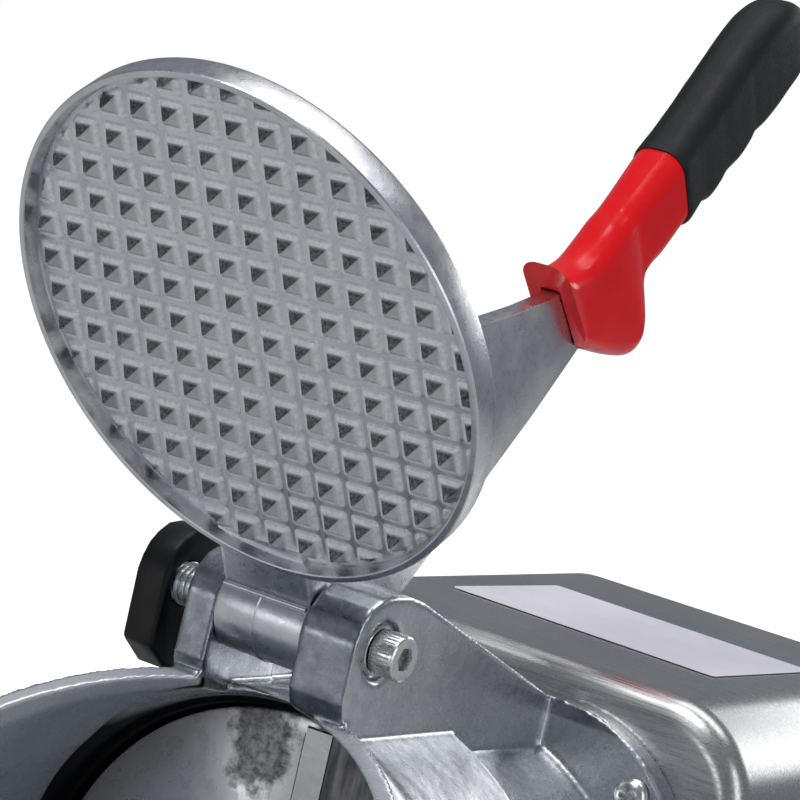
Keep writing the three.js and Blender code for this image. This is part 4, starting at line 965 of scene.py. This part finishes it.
# ---------------- housing
def housing_ring(y, draw):
    """The housing's outline at one depth, drawn in by draw all round."""
    outline = rounded_rectangle(91.5 - draw, 100 - draw, 31.5 - draw, 14)
    return [(x, y, HOUSING_Z + v) for x, v in outline]


def housing_rings(inset, end_extra):
    rings = []
    radius = 8 - inset
    for i in range(9):
        angle = math.radians(90 * (8 - i) / 8)
        y = 36.6 + inset + radius * (1 - math.sin(angle))
        rings.append(housing_ring(y, inset + radius * (1 - math.cos(angle))))
    rings.append(housing_ring(196 + end_extra, inset))
    return rings


FEET = [(x, y) for y in (56, 174) for x in (-62, 62)]
COVER_SCREWS = [(x, HOUSING_Z + z) for z in (-90, 90) for x in (-68, 68)]


def housing_shell():
    body = loft("housing_shell", housing_rings(0, 0))
    carved(body, [loft("inside", housing_rings(1.2, 2))])
    lip = plate_y("lip", rounded_rectangle(91, 99.5, 31, 14), 194.8, 196, HOUSING_Z)
    carved(lip, [plate_y("lip_inside", rounded_rectangle(75.5, 84, 17.5, 14), 193, 197, HOUSING_Z)])
    united(body, [lip])
    carved(body, [
        along_y("motor_hole", 60, 35.6, 38.8),
        *[along_y("screw_hole", 2.8, 35.6, 38.8, x, z, 24) for x, z in FLANGE_SCREWS],
        *[along_y("cover_hole", 2, 193, 197, x, z, 24) for x, z in COVER_SCREWS],
        *[rod("foot_hole", 2.8, 17, 20.2, (x, y, 0), "Z", 24) for x, y in FEET],
    ])
    return smooth(body, 30)


def rating_label():
    half_width, half_depth, middle_y = 50, 31, 117
    turn = math.radians(-2)
    rings = []
    for inset, z in ((0.0, 218.3), (0.0, 218.5), (0.08, 218.6)):
        ring = []
        for x, v in rounded_rectangle(half_width, half_depth, 1.5, 8):
            sx, sv = x * (1 - inset / half_width), v * (1 - inset / half_depth)
            turned_y = sx * math.sin(turn) + sv * math.cos(turn)
            ring.append((sx * math.cos(turn) - sv * math.sin(turn), middle_y + turned_y, z))
        rings.append(ring)
    return smooth(loft("rating_label", rings), 30)


def rear_cover():
    body = plate_y("rear_cover", rounded_rectangle(90.5, 99, 30.5, 14), 196.3, 197.5, HOUSING_Z)
    slot = rounded_rectangle(48, 2, 1.9, 6)
    cuts = [plate_y("vent", slot, 195, 199, 108 + 9 * i) for i in range(8)]
    cuts.append(box("switch_hole", 34, 56, 195, 199, 45, 75))
    cuts.append(along_y("gland_hole", 8.3, 195, 199, *GLAND, 48))
    cuts += [along_y("screw_hole", 2, 195, 199, x, z, 24) for x, z in COVER_SCREWS]
    return smooth(bevelled(carved(body, cuts), 0.2, 2), 30)


def switch_body():
    body = box("switch_body", 32, 58, 197.8, 199.6, 43, 77)
    bevelled(body, 0.6, 2)
    united(body, [box("shell", 34.4, 55.6, 178, 199, 45.4, 74.6)])
    carved(body, [box("hollow", 36, 54, 182, 203, 47, 73)])
    pivot = (0, ROCKER[1], ROCKER[2])
    bosses = ((52.2, 54.6), (35.4, 37.8))
    united(body, [rod("boss", 1.6, start, end, pivot, "X", 24) for start, end in bosses])
    return smooth(body, 30)


def switch_rocker():
    side = [(-7, -6), (-7, 6), (2.5, 11.2), (6.2, 11.6), (4.9, 5.6), (4.3, 0), (4.9, -5.6),
            (6.2, -11.6), (2.5, -11.2)]
    body = bevelled(slab("switch_rocker", side, -8.4, 8.4), 0.5, 3, 25)
    carved(body, [rod("pivot", 1.95, -9, 9, (0, 0, 0), "X", 32)])
    return at_rocker(smooth(body, 35))


def cord_gland():
    profile = [(4.2, 184), (8, 184), (8, 197.8), (12.2, 197.8), (12.5, 198.1), (12.5, 201),
               (12.1, 201.5), (10.6, 202.2), (9.9, 203.2), (9.6, 206.6), (9.2, 207.3), (8.5, 207.6),
               (4.2, 207.6)]
    body = turned("cord_gland", profile, (GLAND[0], 0, GLAND[1]), "Y", 72)
    grips = []
    for angle in turns(12):
        x, z = GLAND[0] + 13.1 * math.cos(angle), GLAND[1] + 13.1 * math.sin(angle)
        grips.append(along_y("flute", 1.1, 198.9, 202.6, x, z, 16))
    return smooth(carved(body, grips), 30)


def rubber_foot(x, y):
    profile = [(7, 0), (11.6, 0), (12.3, 0.3), (12.9, 1), (14.8, 16.6), (14.6, 17.4), (14.2, 17.7),
               (3.2, 17.7), (3.2, 8), (7, 8)]
    return smooth(turned("rubber_foot", profile, (x, y, 0), "Z", 64), 30)


def foot_screw(x, y):
    profile = [(0, 4.5), (3.4, 4.6), (4.4, 5.1), (5, 6), (5, 7.7), (2.4, 7.7), (2.4, 26.6), (2, 27),
               (0, 27)]
    body = turned("foot_screw", profile, (x, y, 0), "Z", 48)
    cross = [box("bar", x - a, x + a, y - b, y + b, 4, 5.9) for a, b in ((2.6, 0.5), (0.5, 2.6))]
    return smooth(carved(body, cross), 30)


def cross_screw(name, x, z, face, height, radius, shank, end):
    """A pan head with a cross recess, facing forward when end is behind face."""
    way = 1 if end > face else -1
    head = ((0, 0), (0.45, 0.03), (0.75, 0.16), (0.93, 0.42), (1, 0.75), (1, 1))
    profile = [(radius * out, face + way * (height * deep)) for out, deep in head]
    profile += [(shank, face + way * height), (shank, end - way * 0.4), (shank * 0.8, end), (0, end)]
    body = turned(name, profile, (x, 0, z), "Y", 64)
    arm, thin = radius * 0.55, radius * 0.13
    low, high = sorted((face - way, face + way * (height * 0.62)))
    cross = [box("bar", x - a, x + a, low, high, z - b, z + b) for a, b in ((arm, thin), (thin, arm))]
    return smooth(carved(body, cross), 30)


def ice_chute():
    y, t = -51.3, 1.2
    side = [(y, 32.4), (y - t, 32.4), (y - t, 20), (y - 14, 7), (y - 12.8, 7), (y, 19.4)]
    body = bevelled(slab("ice_chute", side, -38, 38), 0.25, 2, 20)
    carved(body, [along_y("hole", 1.9, y - 3, y + 1, x, z, 24) for x, z in CHUTE_SCREWS])
    return smooth(body, 30)


# ---------------- cutter
def half_turn(obj):
    centre = Vector(ON_AXIS) * MM
    turn = Matrix.Rotation(math.pi, 4, "Y")
    obj.data.transform(Matrix.Translation(centre) @ turn @ Matrix.Translation(-centre))
    return obj


SCREW_REACH = (30, 46)


def disc_cuts():
    z = AXIS_Z
    ramp = [(-7.5, -56), (-7.5, -55), (-1.8, -52.6), (0.29, -52.6), (0.29, -56)]
    cuts = [loft("ramp", [[(x, y, z + v) for x, y in ramp] for v in (22, 74)]),
            box("slit", -1.8, 0.29, -56, -48, z + 22, z + 74),
            box("seat", 0.28, 9.3, -56, -52.1, z + 19.7, z + 76.3)]
    return cuts + [along_y("screw_hole", 1.7, -56, -48, BLADE_SCREW_X, z + r, 24) for r in SCREW_REACH]


def cutter_disc():
    profile = [(0, -55), (77.4, -55), (78.0, -54.7), (78.2, -54.2), (78.2, -49.4), (77.8, -49),
               (18, -49), (16.4, -48.4), (16, -47), (16, -32.6), (15.6, -32), (0, -32)]
    body = turned("cutter_disc", profile, ON_AXIS, "Y", 256)
    carved(body, [along_y("bore", 7.7, -54, -31), along_y("nut_bore", 6.3, -56, -52), *disc_cuts(),
                  *[half_turn(cut) for cut in disc_cuts()]])
    return smooth(body, 30)


def blade(flip):
    z = AXIS_Z
    section = [(0.7, -56.2), (9, -55), (9, -52.4), (2.7, -52.4)]
    rings = [[(x, y, z + v) for x, y in section] for v in (20, 76)]
    body = bevelled(loft("blade", rings), 0.12, 1)
    carved(body, [along_y("sink", 3.4, -57, -53.9, BLADE_SCREW_X, z + r, 48) for r in SCREW_REACH]
           + [along_y("hole", 1.9, -57, -52, BLADE_SCREW_X, z + r, 32) for r in SCREW_REACH])
    return smooth(half_turn(body) if flip else body, 30)


def blade_screw(reach, flip):
    z = AXIS_Z + reach
    profile = [(0, -55.3), (2.6, -55.3), (3, -55), (3, -54.2), (1.4, -54.2), (1.4, -49), (0, -49)]
    body = turned("blade_screw", profile, (BLADE_SCREW_X, 0, z), "Y", 48)
    carved(body, [box("slot", BLADE_SCREW_X - 0.4, BLADE_SCREW_X + 0.4, -56, -54.8, z - 3.2, z + 3.2)])
    return smooth(half_turn(body) if flip else body, 30)


def disc_nut():
    profile = [(6.3, -62.3), (9.6, -62.3), (10.9, -61.4), (10.9, -56.2), (9.8, -55.3), (6.3, -55.3)]
    body = turned("disc_nut", profile, ON_AXIS, "Y", 6)
    rounding = [(0, -63), (9.2, -62.4), (11.1, -61.2), (11.1, -56.3), (9.4, -55.2), (0, -55)]
    round_off = turned("round", rounding, ON_AXIS, "Y", 64)
    return smooth(joined(body, [round_off], "INTERSECT"), 30)


def motor_shaft():
    profile = [(0, -64), (5.5, -64), (6, -63.5), (6, -53.8), (7.5, -53.8), (7.5, 175.4), (6.9, 176),
               (0, 176)]
    return smooth(turned("motor_shaft", profile, ON_AXIS, "Y", 96), 30)


# ---------------- every piece in its place
def fastener(obj, body, node):
    piece(obj, body, "zinc_steel", ZINC, node)


def build_pieces():
    piece(hopper_casting(), "base", "cast_aluminium", HOPPER, "hopper_casting")
    piece(pressure_plate(), "lid", "cast_aluminium", WAFFLE, "pressure_plate")
    piece(handle_guard(), "lid", "red_vinyl", RED, "handle_guard")
    piece(handle_grip(), "lid", "black_grip", GRIP, "handle_grip")
    fastener(hinge_bolt(), "base", "hinge_bolt")
    fastener(hinge_washer(), "base", "hinge_washer")
    fastener(clamp_stud(), "clamp", "clamp_stud")
    piece(clamp_knob(), "clamp", "black_plastic", KNOB, "clamp_knob")
    piece(housing_shell(), "base", "stainless_steel", STEEL, "housing_shell")
    piece(rating_label(), "base", "label_film", LABEL, "rating_label")
    piece(rear_cover(), "base", "stainless_steel", STEEL, "rear_cover")
    piece(switch_body(), "base", "black_plastic", KNOB, "switch_body")
    piece(switch_rocker(), "rocker", "red_plastic", ROCKER_RED, "switch_rocker")
    piece(cord_gland(), "base", "black_plastic", KNOB, "cord_gland")
    piece(ice_chute(), "base", "stainless_steel", STEEL, "ice_chute")
    piece(cutter_disc(), "spindle", "disc_aluminium", DISC, "cutter_disc")
    fastener(disc_nut(), "spindle", "disc_nut")
    piece(motor_shaft(), "spindle", "zinc_steel", ZINC_GREY, "motor_shaft")
    for i, flip in enumerate((False, True)):
        piece(blade(flip), "spindle", "blade_steel", BLADE, f"blade_{i + 1}")
        for j, reach in enumerate(SCREW_REACH):
            fastener(blade_screw(reach, flip), "spindle", f"blade_screw_{2 * i + j + 1}")
    for i, (x, y) in enumerate(FEET):
        piece(rubber_foot(x, y), "base", "black_rubber", RUBBER, f"rubber_foot_{i + 1}")
        fastener(foot_screw(x, y), "base", f"foot_screw_{i + 1}")
    lowest_first = sorted(FLANGE_SCREWS, key=lambda spot: spot[1])
    for i, (x, z) in enumerate(lowest_first):
        screw = cross_screw("flange_screw", x, z, 24.3, 3.4, 5.4, 2.4, 46.2)
        fastener(screw, "base", f"flange_screw_{i + 1}")
    for i, (x, z) in enumerate(CHUTE_SCREWS):
        screw = cross_screw("chute_screw", x, z, -54.8, 2, 3.4, 1.5, -47)
        fastener(screw, "base", f"chute_screw_{i + 1}")
    for i, (x, z) in enumerate(COVER_SCREWS):
        screw = cross_screw("cover_screw", x, z, 200.2, 2.4, 3.8, 1.7, 186)
        fastener(screw, "base", f"cover_screw_{i + 1}")


build_pieces()
